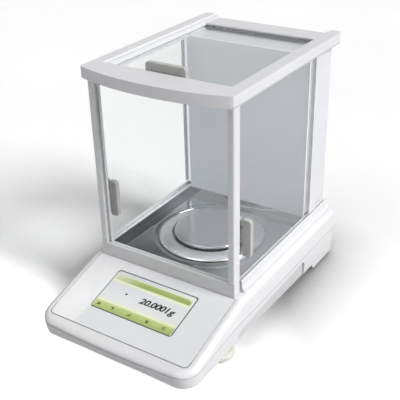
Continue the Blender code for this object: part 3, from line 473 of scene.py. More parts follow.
def screen_material():
    """Colour display under a cover glass, drawn from console coordinates."""
    mat = Shading("screen_glass_lit")
    u, v = slope_uv(mat)

    def band(value, start, end, soft):
        return mat.mul(mat.remap(value, (start - soft, start + soft), smooth=True),
                       mat.remap(value, (end - soft, end + soft), (1.0, 0.0), smooth=True))

    def bar_tone(span, low, high, cloud_tone):
        tone = mat.mix(mat.remap(v, span), low, high)
        return mat.tint(tone, cloud, (0.35, 0.7), 0.5, cloud_tone)

    dots = mat.clouds((5200, 5200, 5200), detail=1.0, rough=0.5)
    cloud = mat.clouds((30, 30, 30), detail=3.0, rough=0.5)
    color = mat.mix(mat.remap(v, (36.0, 62.0), smooth=True), (232, 233, 232), (223, 225, 230))
    color = mat.mix(mat.remap(u, (-20.0, 40.0), (0.0, 0.5), smooth=True), color,
                    (226, 228, 226))
    # upper bar, fading towards the left, with a pale glow round it
    glow = mat.mul(band(v, 65.0, 76.6, soft=2.0), band(u, -52.0, 51.0, soft=3.0))
    color = mat.mix(mat.mul(glow, 0.85), color, (240, 243, 205))
    bar = mat.mul(band(v, 68.2, 75.6, soft=1.3), band(u, -50.0, 50.0, soft=1.2))
    bar = mat.mul(bar, mat.remap(u, (-56.0, -6.0), (0.25, 1.0), smooth=True))
    tone = bar_tone((68.0, 76.0), (138, 160, 72), (178, 194, 112), (160, 178, 98))
    color = mat.mix(bar, color, tone)
    # lower bar with five keys
    glow = mat.mul(band(v, 20.0, 39.0, soft=2.6), band(u, -53.0, 52.6, soft=1.5))
    color = mat.mix(mat.mul(glow, 0.85), color, (240, 244, 196))
    bar = mat.mul(band(v, 20.0, 35.8, soft=1.7), band(u, -52.4, 52.6, soft=0.5))
    tone = bar_tone((26.0, 36.0), (158, 178, 92), (198, 211, 138), (176, 192, 118))
    tone = mat.mix(mat.remap(u, (-60.0, -20.0), (0.45, 0.0), smooth=True), tone,
                   (206, 216, 150))
    color = mat.mix(bar, color, tone)
    key_pitch = 21.2
    key = mat.calc("FRACT", mat.calc("MULTIPLY_ADD", u, 1 / key_pitch, 10.5))
    gap = mat.mul(mat.remap(mat.abs(mat.sub(key, 0.5)), (0.478, 0.490)), bar)
    color = mat.mix(mat.mul(gap, 0.32), color, (216, 224, 170))
    # border line, rounded at the two upper corners
    half, low, high, radius = SCREEN_HALF - 0.55, SCREEN_V0 + 0.45, SCREEN_V1 - 0.55, 4.0
    side = mat.abs(u)
    border = mat.max(mat.remap(side, (half - 0.55, half - 0.25)),
                     mat.remap(v, (high - 0.55, high - 0.25)))
    border = mat.max(border, mat.remap(v, (low + 0.85, low + 0.55)))
    corner = corner_distance(mat, mat.sub(side, half - radius), mat.sub(v, high - radius))
    border = mat.max(border, mat.remap(corner, (radius - 0.55, radius - 0.25)))
    color = mat.tint(color, dots, (0.4, 0.8), 0.10, (190, 194, 188))
    color = mat.mix(border, color, (96, 99, 100))
    color = mat.mix(1.0, color, (0.86, 0.86, 0.855, 1.0), blend="MULTIPLY")
    smear = mat.clouds((40, 24, 40), detail=5.0, rough=0.7, dist=0.8)
    shader = mat.principled(
        Base_Color=color, Roughness=mat.remap(smear, (0.45, 0.75), (0.16, 0.30)),
        Emission_Color=color, Emission_Strength=0.08, Coat_Weight=0.25, Coat_Roughness=0.08)
    return mat.done(shader, (225, 226, 226))


# ===================================================================== materials
HOUSING_WHITE = plastic("housing_white_grained", (221, 221, 222), (217, 217, 219),
                        rough=0.42, grain=2600, grain_bump=0.12)
TRAY_WHITE = plastic("tray_white_grained", (217, 217, 218), (213, 213, 215),
                     rough=0.46, grain=2300, grain_bump=0.14, shade=seam_shade)
FRAME_WHITE = plastic("frame_white_satin", (218, 218, 220), (214, 214, 216),
                      rough=0.38, grain=3200, grain_bump=0.07, shade=eave_shade)
# the trims' inner part gets a painted glow, an emission standing in for light
TRIM_WHITE = plastic("trim_white_satin", (218, 218, 220), (214, 214, 216),
                     rough=0.36, grain=3200, grain_bump=0.07,
                     glow=side_glow((0.0868, 0.0864), strength=0.40))
COLUMN = plastic("column_white_satin", (218, 218, 221), (214, 214, 218),
                 rough=0.42, grain=2800, grain_bump=0.10)
# the back panel's side edges get a painted glow, an emission standing in for light
BACK_PANEL = plastic("back_panel_grey_film", (241, 245, 249), (238, 242, 247),
                     rough=0.34, grain=3400, grain_bump=0.05, edge_tone=(232, 234, 236),
                     dirt=0.25, glow=side_glow((0.0826, 0.0829), strength=0.62))
HANDLE_GREY = plastic("handle_grey_grained", (184, 184, 181), (178, 178, 176), rough=0.48,
                      grain=2000, grain_bump=0.16, edge_tone=(172, 172, 170), dirt=0.3)
WHEEL = plastic("wheel_offwhite", (212, 214, 205), (206, 208, 198),
                rough=0.45, grain=2300, grain_bump=0.12)
BLACK = plastic("black_moulded", (26, 26, 27), (20, 20, 21), rough=0.5,
                grain=2200, grain_bump=0.25, edge_tone=(62, 62, 62), dirt=0.8)
FLOOR_STEEL = metal("floor_steel_polished", (204, 206, 208), (212, 213, 215), rough=0.06,
                    along="x", lines=1300, bump=0.03, shade=floor_shade)
RING_STEEL = metal("ring_steel_turned", (220, 221, 224), (230, 231, 233), rough=0.27,
                   turned_y=PAN_Y, lines=2600)
PAN_STEEL = metal("pan_steel_turned", (216, 216, 218), (224, 224, 225), rough=0.17,
                  turned_y=PAN_Y, lines=2400, bump=0.08)
ALUMINIUM = metal("cast_aluminium", (178, 180, 182), (164, 166, 169), rough=0.42,
                  lines=900, bump=0.45, spots=0.8)
SPRING = metal("spring_bronze", (178, 148, 92), (190, 160, 104), rough=0.28,
               along="y", lines=1800)
COPPER = metal("coil_copper", (184, 106, 62), (150, 78, 44), rough=0.32,
               along="x", lines=2600, bump=0.5)
MAGNET = metal("magnet_iron", (92, 92, 94), (78, 78, 80), rough=0.42, turned_y=90.0, bump=0.2)
BRASS = metal("brass_insert", (196, 164, 92), (182, 148, 78), rough=0.3, turned_y=0)
ZINC = metal("screw_zinc", (170, 170, 168), (186, 186, 184), rough=0.28, lines=1700, bump=0.15)
RUBBER = rubber("foot_rubber_black", (30, 30, 31))
BOARD_FLAT = board("board_green_flat", second_axis=1)
BOARD_UPRIGHT = board("board_green_upright", second_axis=2)
DOOR_GLASS = glass("door_glass_clear", (1, 0, 0), haze=0.014)
FRONT_GLASS = glass("front_glass_clear", (0, 1, 0), haze=0.010)
TOP_GLASS = glass("top_glass_clear", (0, 0, 1), haze=0.012)
RIBBON = ribbon("ribbon_grey_ribbed")
LABEL = label_material()
SCREEN = screen_material()
INK_BLACK = ink("display_black", (22, 24, 22), (34, 36, 34))
INK_GREEN = ink("display_dark_green", (74, 92, 34), (86, 104, 42))
INK_PALE = ink("display_pale", (236, 240, 214), (228, 234, 204))


# ============================================================== geometry helpers
def link(ob):
    bpy.context.scene.collection.objects.link(ob)
    return ob


def shade(mesh, sharp):
    mesh.shade_smooth()
    mesh.set_sharp_from_angle(angle=math.radians(sharp))


def clean(mesh, merge=False):
    """Turn all faces outwards, after merging doubled points if asked."""
    bm = bmesh.new()
    bm.from_mesh(mesh)
    if merge:
        bmesh.ops.remove_doubles(bm, verts=bm.verts, dist=1e-7)
    bmesh.ops.recalc_face_normals(bm, faces=bm.faces)
    bm.to_mesh(mesh)
    bm.free()


def loose(name, verts, faces, sharp=32.0):
    """An object from points in mm, smooth except at edges sharper than the angle."""
    mesh = bpy.data.meshes.new(name)
    mesh.from_pydata([(x * MM, y * MM, z * MM) for x, y, z in verts], [], faces)
    clean(mesh)
    shade(mesh, sharp)
    return link(bpy.data.objects.new(name, mesh))


def cut(ob, tools, kind="DIFFERENCE", sharp=32.0):
    """Boolean with each tool in turn, applied, tools removed."""
    for tool in tools:
        modifier = ob.modifiers.new("cut", "BOOLEAN")
        modifier.operation = kind
        modifier.solver = "EXACT"
        modifier.object = tool
    depsgraph = bpy.context.evaluated_depsgraph_get()
    mesh = bpy.data.meshes.new_from_object(ob.evaluated_get(depsgraph))
    ob.modifiers.clear()
    ob.data = mesh
    shade(mesh, sharp)
    for tool in tools:
        bpy.data.objects.remove(tool, do_unlink=True)


def soften(ob, width, segments=3, weld=False):
    """Round the edges of a piece by width (mm) and give its flats clean normals."""
    if weld:
        modifier = ob.modifiers.new("weld", "WELD")
        modifier.merge_threshold = 1e-6
        modifier = ob.modifiers.new("flats", "DECIMATE")
        modifier.decimate_type = "DISSOLVE"
        modifier.angle_limit = math.radians(0.4)
    if width > 0:
        bevel = ob.modifiers.new("edges", "BEVEL")
        bevel.width = width * MM
        bevel.segments = segments
        bevel.limit_method = "ANGLE"
        bevel.angle_limit = math.radians(28.0)
        bevel.miter_outer = "MITER_ARC"
        bevel.use_clamp_overlap = True
    normals = ob.modifiers.new("normals", "WEIGHTED_NORMAL")
    normals.mode = "FACE_AREA"
    normals.weight = 60
    normals.keep_sharp = width == 0


def settle(ob, material, body, slot, *nodes):
    """Give a new piece its material and its place in the frame."""
    ob.data.materials.clear()
    ob.data.materials.append(material)
    ob.location.y += SHIFT * MM
    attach(ob, body)
    if nodes:
        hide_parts(*nodes)


def dress(names, material, width=0.0, segments=2):
    """Carry CAD nodes over with their own finish and softened edges."""
    for name in names.split():
        ob = NODES[name]
        if not ob.material_slots:
            ob.data.materials.append(material)
        for slot in ob.material_slots:
            slot.link = "OBJECT"
            slot.material = material
        if width > 0:
            soften(ob, width, segments, weld=True)


def on_slope(u, v, w):
    return (u, SLOPE_Y0 + v * SLOPE_COS - w * SLOPE_SIN, SLOPE_Z0 + v * SLOPE_SIN + w * SLOPE_COS)


# where an outline point lands at depth t along each direction
DIRECTIONS = {"x": lambda p, t: (t, p[0], p[1]), "y": lambda p, t: (p[0], t, p[1]),
              "z": lambda p, t: (p[0], p[1], t), "slope": lambda p, t: on_slope(*p, t)}


def prism_data(outline_points, direction, lo, hi):
    n = len(outline_points)
    verts = [DIRECTIONS[direction](p, t) for t in (lo, hi) for p in outline_points]
    faces = [tuple(range(n)), tuple(range(2 * n - 1, n - 1, -1))]
    faces += [(i, (i + 1) % n, n + (i + 1) % n, n + i) for i in range(n)]
    return verts, faces


def prism(outline_points, direction, lo, hi, name="cutter"):
    return loose(name, *prism_data(outline_points, direction, lo, hi))


def block(lo, hi):
    return prism([(lo[0], lo[1]), (hi[0], lo[1]), (hi[0], hi[1]), (lo[0], hi[1])],
                 "z", lo[2], hi[2])


def joined(pieces):
    """One set of points and faces from several."""
    verts, faces = [], []
    for piece_verts, piece_faces in pieces:
        base = len(verts)
        verts += piece_verts
        faces += [tuple(base + i for i in face) for face in piece_faces]
    return verts, faces


def quarter(cx, cy, r, start, steps):
    """Quarter circle, counter-clockwise from start in degrees."""
    angles = [math.radians(start + 90.0 * i / steps) for i in range(steps + 1)]
    return [(cx + r * math.cos(a), cy + r * math.sin(a)) for a in angles]


def rounded(cx, cy, half_x, half_y, r, steps):
    out = []
    for sx, sy, start in ((1, -1, -90), (1, 1, 0), (-1, 1, 90), (-1, -1, 180)):
        out += quarter(cx + sx * (half_x - r), cy + sy * (half_y - r), r, start, steps)
    return out


def circle(cx, cy, r, n):
    return [(cx + r * math.cos(2 * math.pi * i / n), cy + r * math.sin(2 * math.pi * i / n))
            for i in range(n)]


def turned_data(profile, n, cx, cy, shape=None):
    """Closed (r, z) profile turned about a vertical line; shape varies r with the angle."""
    verts, rows = [], []
    for r, z in profile:
        if r < 1e-9:
            rows.append([len(verts)])
            verts.append((cx, cy, z))
            continue
        rows.append([len(verts) + i for i in range(n)])
        for i in range(n):
            angle = 2 * math.pi * i / n
            q = shape(r, angle) if shape else r
            verts.append((cx + q * math.cos(angle), cy + q * math.sin(angle), z))
    faces = []
    for a, b in zip(rows, rows[1:] + rows[:1]):
        if len(a) == 1 and len(b) == 1:
            continue
        for i in range(n):
            j = (i + 1) % n
            if len(a) == 1:
                faces.append((a[0], b[i], b[j]))
            elif len(b) == 1:
                faces.append((a[i], a[j], b[0]))
            else:
                faces.append((a[i], a[j], b[j], b[i]))
    return verts, faces


def rounded_profile(points, steps):
    """(r, z) profile from (r, z, corner radius) rows; radius 0 keeps a corner sharp."""
    out = []
    for i, (r, z, radius) in enumerate(points):
        if radius <= 0:
            out.append((r, z))
            continue
        corner = Vector((r, z))
        back = Vector(points[i - 1][:2]) - corner
        ahead = Vector(points[(i + 1) % len(points)][:2]) - corner
        radius = min(radius, back.length * 0.49, ahead.length * 0.49)
        back.normalize()
        ahead.normalize()
        for k in range(steps + 1):
            t = k / steps
            q = ((corner + back * radius) * (1 - t) ** 2 + corner * 2 * t * (1 - t)
                 + (corner + ahead * radius) * t ** 2)
            out.append((q.x, q.y))
    return out


def turned(name, points, steps, n, centre, sharp, shape=None):
    """Turned piece from (r, z, corner radius) rows."""
    return loose(name, *turned_data(rounded_profile(points, steps), n, *centre, shape), sharp)


def lerp(a, b, t):
    return a + (b - a) * t


def span(side, a, b):
    """The range a to b of x on one side, lower end first."""
    return sorted((side * a, side * b))


# ------------------------------------------------------------ base outline in plan
# stations in y along each straight side
SIDE_YS = [-118.0, -105.0, -92.0, -80.0, -70.0, -64.0, -61.0, -59.0, -57.0, -54.0, -50.0,
           -40.0, -20.0, 0.0, 20.0, 40.0, 64.0, 88.0, 100.0, 111.0, 113.0, 115.0, 117.0,
           130.0, 150.0]
FRONT_STEPS, CORNER_STEPS = 12, 16


def outline(side, front, rear):
    """Closed plan outline of the base, inset from its outer faces."""
    half = BODY_HALF - side
    y0, y1 = BODY_Y0 + front, BODY_Y1 - rear
    front_r = max(FRONT_R - max(side, front * 0.6), 3.0)
    rear_r = max(REAR_R - side, 2.0)
    # x at which the bowed front runs tangentially into the corner
    meet = half - front_r
    for _ in range(30):
        meet = half - front_r + front_r * math.sin(math.atan(2 * FRONT_BOW * meet))
    tilt = math.atan(2 * FRONT_BOW * meet)
    cx = meet - front_r * math.sin(tilt)
    cy = y0 + FRONT_BOW * meet * meet + front_r * math.cos(tilt)
    points = []
    for i in range(FRONT_STEPS):
        x = meet * (i / FRONT_STEPS)
        points.append((x, y0 + FRONT_BOW * x ** 2))
    for i in range(CORNER_STEPS + 1):
        angle = tilt + (math.pi / 2 - tilt) * i / CORNER_STEPS
        points.append((cx + front_r * math.sin(angle), cy - front_r * math.cos(angle)))
    points += [(half, y) for y in SIDE_YS]
    points += quarter(half - rear_r, y1 - rear_r, rear_r, 0, 8)
    return points + [(-x, y) for x, y in reversed(points[1:])]


def strips(start, n):
    """Faces across a mirrored ring of n points, pairing left with right."""
    ring = list(range(start, start + n))
    faces = [(ring[0], ring[1], ring[n - 1])]
    for i in range(1, n // 2):
        faces.append((ring[i], ring[i + 1], ring[n - i - 1], ring[n - i]))
    return faces


def loft_data(rings):
    n = len(rings[0])
    faces = []
    for k in range(len(rings) - 1):
        a, b = k * n, (k + 1) * n
        faces += [(a + i, a + (i + 1) % n, b + (i + 1) % n, b + i) for i in range(n)]
    faces += strips(0, n) + strips((len(rings) - 1) * n, n)
    return [p for ring in rings for p in ring], faces


def z_slope(y):
    return SLOPE_Z0 + (y - SLOPE_Y0) * math.tan(SLOPE)


def z_top(y):
    """Slope running into the flat deck through a short bend."""
    start = SLOPE_Y0 + (BASE_TOP - SLOPE_Z0) / math.tan(SLOPE) - SLOPE_BLEND
    length = 2 * SLOPE_BLEND
    if y < start:
        return z_slope(y)
    if y > start + length:
        return BASE_TOP
    t = (y - start) / length
    return z_slope(start) + math.tan(SLOPE) * length * (t - t * t / 2)


def z_part(y):
    t = min(max((y - PART_Y0) / (PART_Y1 - PART_Y0), 0.0), 1.0)
    return PART_FRONT + (PART_REAR - PART_FRONT) * t * t * (3 - 2 * t)


def z_bottom(y):
    """Underside, stepping down to the rear block."""
    return TRAY_BOTTOM + (BLOCK_BOTTOM - TRAY_BOTTOM) * min(max((y - 111.0) / 6.0, 0.0), 1.0)


# lower edge of the tray's outer wall, drawn up towards the levelling wheels: y, z
SKIRT = ((-200.0, 20.0), (-166.5, 20.0), (-164.2, 16.4), (-121.0, 15.8), (-108.0, 17.6),
         (-44.0, 17.5), (-6.0, 15.9), (35.0, 14.2), (75.0, 12.9), (100.0, 12.5))


def z_skirt(y):
    for (ya, za), (yb, zb) in zip(SKIRT, SKIRT[1:]):
        if y <= yb:
            return za + (zb - za) * (y - ya) / (yb - ya)
    return z_bottom(y)


def lip_rings(direction):
    """Rounded lip beside the parting line, upwards (1) or downwards (-1)."""
    lip = outline(LIP_R, LIP_R, LIP_R)
    rings = [[(x, y, z_part(y) + direction * PART_GAP) for x, y in lip]]
    for t in (0.33, 0.67):
        angle = math.pi / 2 * t
        rise = direction * (PART_GAP + LIP_R * (1 - math.cos(angle)))
        rings.append([(lerp(q[0], p[0], math.sin(angle)), lerp(q[1], p[1], math.sin(angle)),
                       z_part(p[1]) + rise) for p, q in zip(outline(0, 0, 0), lip)])
    return rings


def label_outline(grow):
    half, v0, r = LABEL_HALF + grow, LABEL_V0 - grow, LABEL_R + grow
    v1 = LABEL_V1 + grow
    return (quarter(half - r, v0 + r, r, 270, 16) + [(half, v1), (-half, v1)]
            + quarter(-half + r, v0 + r, r, 180, 16))


def screen_outline(grow, r, steps):
    return rounded(0, (SCREEN_V0 + SCREEN_V1) / 2, SCREEN_HALF + grow,
                   (SCREEN_V1 - SCREEN_V0) / 2 + grow, r, steps)


# =================================================================== base shells
def build_upper_cover():
    outer = outline(0, 0, 0)
    crown = outline(CROWN_SIDE, CROWN_FRONT, CROWN_SIDE)
    inner = outline(COVER_T, COVER_T, COVER_T)
    inner_top = outline(CROWN_SIDE + 0.6, CROWN_FRONT + 0.6, CROWN_SIDE + 0.6)
    shoulder = [max(z_part(p[1]) + 1.2, z_top(q[1]) - CROWN_SIDE)
                for p, q in zip(outer, crown)]
    ceiling = [(x, y, z_top(y) - COVER_T) for x, y in inner_top]

    def inner_shoulder(y, z, roof_z):
        if z_part(y) + 0.6 < z - 0.4:
            return min(z - 0.4, roof_z - 0.8)
        return z_part(y) + 0.5

    rings = [ceiling,
             [(x, y, inner_shoulder(y, z, q[2])) for (x, y), z, q in zip(inner, shoulder, ceiling)],
             [(x, y, z_part(y) + PART_GAP) for x, y in inner]]
    rings += lip_rings(1)
    rings.append([(x, y, z_part(y) + PART_GAP + LIP_R) for x, y in outer])
    # top edge rounded as a superellipse
    steps, power = 14, 2 / 1.72
    for k in range(steps + 1):
        angle = math.pi / 2 * k / steps
        inward, rise = 1 - math.cos(angle) ** power, math.sin(angle) ** power
        rings.append([(lerp(p[0], q[0], inward), lerp(p[1], q[1], inward),
                       lerp(z, z_top(q[1]), rise)) for p, q, z in zip(outer, crown, shoulder)])
    ob = loose("upper_cover_shell", *loft_data(rings))
    cut(ob, [prism(label_outline(0.4), "slope", -1.4, 12.0),
             prism(screen_outline(0.5, 3.5, 6), "slope", -12.0, 6.0),
             # openings in the deck: under the chamber and behind it
             block((-62.0, -36.0, 55.0), (62.0, 104.0, 75.0)),
             prism(rounded(0.0, 148.0, 30.0, 20.0, 3.0, 4), "z", 55.0, 75.0),
             # openings in the rear wall: socket and jack
             block((20.0, 170.0, 46.6), (52.0, 185.0, 59.4)),
             prism(circle(70.0, 53.0, 6.2, 32), "y", 170.0, 185.0)], sharp=30.0)
    soften(ob, 0)
    settle(ob, HOUSING_WHITE, "housing", "housing_white", "upper_cover")


# cutting outlines of the tray's side walls: y, z
RECESS = ([(-73.0, -1.0), (87.6, -1.0), (87.6, 26.0)]
          + quarter(79.6, 26.0, 8.0, 0, 10)[1:-1]
          + [(79.6, 34.0), (-40.0, 32.2), (-62.0, 31.2), (-67.0, 30.4), (-70.6, 28.7),
             (-73.0, 26.0)])
NOTCH = [(98.2, -1.0), (112.3, -1.0), (112.3, 14.0), (109.3, 17.0), (101.2, 17.0), (98.2, 14.0)]
WHEEL_ARCH = [(-109.6, -2.0), (-76.9, -2.0), (-76.9, 17.6), (-78.0, 19.8), (-80.6, 21.6),
              (-86.0, 22.9), (-91.5, 23.2), (-97.0, 22.9), (-103.4, 21.5), (-107.6, 19.2),
              (-109.6, 16.9)]
REAR_GROOVE = [(114.0, 21.1), (185.0, 21.1), (185.0, 22.1), (114.0, 22.1)]


def tray_tools():
    tools = []
    for side in (-1, 1):
        x = side * FOOT_X
        tools += [prism(RECESS, "x", *span(side, 98.05, 111.0)),
                  prism(NOTCH, "x", *span(side, 99.3, 111.0)),
                  prism(WHEEL_ARCH, "x", *span(side, 97.13, 112.0)),
                  prism(circle(x, FOOT_Y + 0.07, WHEEL_R + 1.05, 72), "z", -3.0, 13.37),
                  prism(REAR_GROOVE, "x", *span(side, 100.0, 110.0)),
                  prism(circle(x, FOOT_Y, STEM_R + 0.6, 32), "z", 5.0, 20.0)]
    # stepped screw holes
    for x, y in ((-80.0, -120.0), (80.0, -120.0), (-80.0, 138.0), (80.0, 138.0)):
        z = z_bottom(y)
        tools += [prism(circle(x, y, 4.2, 28), "z", z - 3, z + 0.4),
                  prism(circle(x, y, 2.2, 28), "z", z - 3, z + 6)]
    # row of slots in the underside
    for i in range(7):
        tools.append(prism(rounded(0.0, -40.0 + 14.0 * i, 34.0, 2.0, 1.9, 5), "z", 5.0, 18.0))
    return tools


def build_lower_tray():
    foot = outline(2.6, 3.6, 2.8)
    skirt = [z_skirt(y) for x, y in foot]
    rings = [[(x, y, z_bottom(y) + 3.0) for x, y in outline(9.0, 20.0, 8.0)],
             [(x, y, z + 3.0) for (x, y), z in zip(outline(TRAY_T, 6.6, TRAY_T), skirt)],
             [(x, y, z_part(y) - PART_GAP) for x, y in outline(TRAY_T, TRAY_T, TRAY_T)]]
    rings += lip_rings(-1)
    # side wall falling inwards towards the bottom
    for k in range(9):
        p = k / 8
        wall = outline(1.2 * p ** 1.8, 2.0 * p ** 1.45, 1.4 * p ** 1.8)
        rings.append([(x, y, (z_part(y) - LIP_R - PART_GAP) * (1 - p) + (z + 1.8) * p)
                      for (x, y), z in zip(wall, skirt)])
    # rounding into the underside
    for k in range(1, 6):
        angle = math.pi / 2 * k / 5
        turn = 1 - math.cos(angle)
        wall = outline(1.2 + 1.8 * turn, 2.0 + 1.6 * turn, 1.4 + 1.8 * turn)
        rings.append([(x, y, z + 1.8 * (1 - math.sin(angle))) for (x, y), z in zip(wall, skirt)])
    rings.append([(x, y, z_bottom(y)) for x, y in outline(7.0, 18.0, 6.0)])
    ob = loose("lower_tray_shell", *loft_data(rings))
    cut(ob, tray_tools(), sharp=30.0)
    soften(ob, 0)
    settle(ob, TRAY_WHITE, "housing", "tray_white", "lower_tray")


# ============================================================= label and display
INK_W, READING_W, INK_T = -0.345, -0.29, 0.05      # heights and thickness of the marks


def build_console():
    ob = prism(label_outline(0.0), "slope", -1.1, -0.25, "console_overlay")
    cut(ob, [prism(screen_outline(0.35, 3.3, 8), "slope", -5.0, 5.0)])
    soften(ob, 0.15, 2)
    settle(ob, LABEL, "housing", "label_film", "console_label")
    ob = prism(screen_outline(0.0, 3.0, 8), "slope", -2.3, -0.35, "touch_screen")
    soften(ob, 0.18, 3)
    settle(ob, SCREEN, "housing", "screen_glass", "touch_panel")


def build_reading():
    """The weight shown on the display, fitted to a fixed width."""
    width, u0, v0 = 46.5, -5.0, 49.2
    text = bpy.data.curves.new("reading", "FONT")
    text.body = "20.0001 g"
    text.size = 10.8 * MM
    text.shear = 0.22
    text.offset = 0.34 * MM
    text.extrude = 0.03 * MM
    text.align_x = "LEFT"
    text.space_character = 0.94
    text.space_word = 0.35
    text.resolution_u = 6
    source = link(bpy.data.objects.new("reading_tmp", text))
    depsgraph = bpy.context.evaluated_depsgraph_get()
    mesh = bpy.data.meshes.new_from_object(source.evaluated_get(depsgraph))
    bpy.data.objects.remove(source, do_unlink=True)
    xs = [v.co.x for v in mesh.vertices]
    left = min(xs)
    fit = width * MM / (max(xs) - left)
    for vertex in mesh.vertices:
        vertex.co.x = (vertex.co.x - left) * fit
    clean(mesh, merge=True)
    tilt = Matrix(((1, 0, 0, 0), (0, SLOPE_COS, -SLOPE_SIN, 0),
                   (0, SLOPE_SIN, SLOPE_COS, 0), (0, 0, 0, 1)))
    mesh.transform(Matrix.Translation(Vector(on_slope(u0, v0, READING_W)) * MM) @ tilt)
    ob = link(bpy.data.objects.new("reading_digits", mesh))
    settle(ob, INK_BLACK, "housing", "screen_glass")


def print_marks(name, outlines, material):
    """Thin flat shapes on the display, from outlines in u and v."""
    pieces = [prism_data(points, "slope", INK_W, INK_W + INK_T) for points in outlines]
    settle(loose(name, *joined(pieces)), material, "housing", "screen_glass")


def box(u0, v0, u1, v1):
    return [(u0, v0), (u1, v0), (u1, v1), (u0, v1)]


def build_marks():
    # eight-pointed star at the left of the reading
    star = []
    for i in range(16):
        angle = 2 * math.pi * i / 16
        r = 2.1 if i % 2 == 0 else 1.15
        star.append((-24.6 + r * math.cos(angle) + 0.3 * math.sin(angle),
                     53.9 + 0.8 * r * math.sin(angle)))
    print_marks("steady_mark", [star], INK_BLACK)

    house = [(-2.2, -1.8), (2.2, -1.8), (2.2, 0.4), (0.0, 2.2), (-2.2, 0.4)]
    arrow = [(-0.7, -2.0), (0.7, -2.0), (0.7, 0.0), (2.2, 0.0), (0.0, 2.4), (-2.2, 0.0),
             (-0.7, 0.0)]
    bars = [box(-2.4 + 1.8 * i, -2.0, -1.1 + 1.8 * i, -0.8 + 1.3 * i) for i in range(3)]
    drop = []
    for i in range(18):
        angle = 2 * math.pi * i / 18
        high = max(math.sin(angle), 0)
        drop.append((1.9 * math.cos(angle) * (1 - 0.25 * high),
                     1.9 * math.sin(angle) + 0.6 * high - 0.2))
    lines = [box(-2.2, -1.9 + 1.5 * i, 2.2, -1.1 + 1.5 * i) for i in range(3)]
    icon_v = 31.0
    icons = ((-46.0, [house]), (-27.0, [arrow]), (-5.0, bars), (19.0, [drop]), (41.0, lines))
    print_marks("menu_icons", [[(icon_u + u, icon_v + v) for u, v in points]
                               for icon_u, shapes in icons for points in shapes], INK_GREEN)
    # small pale frame at the right end of the upper bar
    print_marks("corner_icon", [box(46.6, 74.0, 50.8, 74.7), box(46.6, 77.8, 50.8, 78.5),
                                box(46.6, 74.7, 47.3, 77.8), box(50.1, 74.7, 50.8, 77.8)],
                INK_PALE)


# ======================================================================== roof
def build_roof():
    """U-shaped frame, open to the rear, with a bowed front."""
    steps = 64
    front = []
    for i in range(1, steps):
        x = -ROOF_HALF + 2 * ROOF_HALF * i / steps
        front.append((x, ROOF_FRONT - ROOF_BOW * (1 - (abs(x) / ROOF_HALF) ** 2.2)))
    # the two front corners are softened in plan
    points = [(-ROOF_HALF, ROOF_FRONT + 2.0), (-ROOF_HALF + 0.6, ROOF_FRONT + 0.4)] + front
    points += [(ROOF_HALF - 0.6, ROOF_FRONT + 0.4), (ROOF_HALF, ROOF_FRONT + 2.0)]
    corner = quarter(ROOF_HALF - ROOF_REAR_R, ROOF_REAR - ROOF_REAR_R, ROOF_REAR_R, 0, 8)
    points += corner
    points += [(ROOF_IN_HALF, ROOF_REAR), (ROOF_IN_HALF, ROOF_IN_FRONT),
               (-ROOF_IN_HALF, ROOF_IN_FRONT), (-ROOF_IN_HALF, ROOF_REAR)]
    points += [(-x, y) for x, y in reversed(corner)]
    ob = prism(points, "z", ROOF_BOTTOM, ROOF_TOP, "roof_canopy_frame")
    # slots for the top, side and front glass
    tools = [block((-78.0, -50.0, 283.2), (78.0, 190.0, 287.0)),
             block((-89.4, POST_Y1 + 0.2, 270.0), (-85.6, 190.0, 288.0)),
             block((85.6, POST_Y1 + 0.2, 270.0), (89.4, 190.0, 288.0)),
             block((-84.0, -59.2, 270.0), (84.0, -54.8, 284.3))]
    # shallow step along the inner edge of each side rail
    for side in (-1, 1):
        x0, x1 = span(side, 70.0, 79.6)
        tools.append(block((x0, ROOF_IN_FRONT, 291.8), (x1, 190.0, 300.0)))
    cut(ob, tools, sharp=30.0)
    soften(ob, 0.7, 3)
    settle(ob, FRAME_WHITE, "housing", "frame_white", "roof_frame")


# ========================================================== chamber floor and pan
PAN_CENTRE = (0.0, PAN_Y)


def build_floor():
    """Floor plate with a thin raised rim and a hole under the pan."""
    ob = prism(rounded(0, 32.65, 83.7, 81.95, 1.6, 6), "z", BASE_TOP + 0.3, 76.4,
               "chamber_floor")
    cut(ob, [block((-82.7, -60.0, FLOOR_TOP), (82.7, 113.6, 90.0)),
             prism(circle(*PAN_CENTRE, 9.0, 64), "z", 60.0, 75.0)])
    soften(ob, 0.3, 3)
    settle(ob, FLOOR_STEEL, "housing", "floor_steel", "chamber_floor_plate")
    # thin bead that frames the ring: r, z
    bead = [(66.5, 67.30), (73.6, 67.30), (75.4, 67.30), (75.0, 67.62), (73.8, 67.82),
            (67.5, 67.82), (66.8, 67.7)]
    ob = loose("floor_bead", *turned_data(bead, 160, *PAN_CENTRE), 40.0)
    settle(ob, FLOOR_STEEL, "housing", "floor_steel")


# the turned pieces are given as rows of r, z, corner radius
def build_ring():
    ring = [(RING_R0, 67.8, 0.3), (RING_R1 - 0.6, 67.8, 0.3), (RING_R1, 68.6, 0.8),
            (RING_R1 - 1.2, 70.0, 1.2), (RING_R1 - 5.0, 71.2, 2.4),
            (RING_R0 + 5.0, RING_TOP - 0.3, 1.6), (RING_R0 + 1.5, RING_TOP, 0.7),
            (RING_R0, RING_TOP - 0.7, 0.4)]
    ob = turned("draft_shield_ring", ring, 5, 160, PAN_CENTRE, 50.0)
    settle(ob, RING_STEEL, "ring", "floor_steel", "draft_ring")


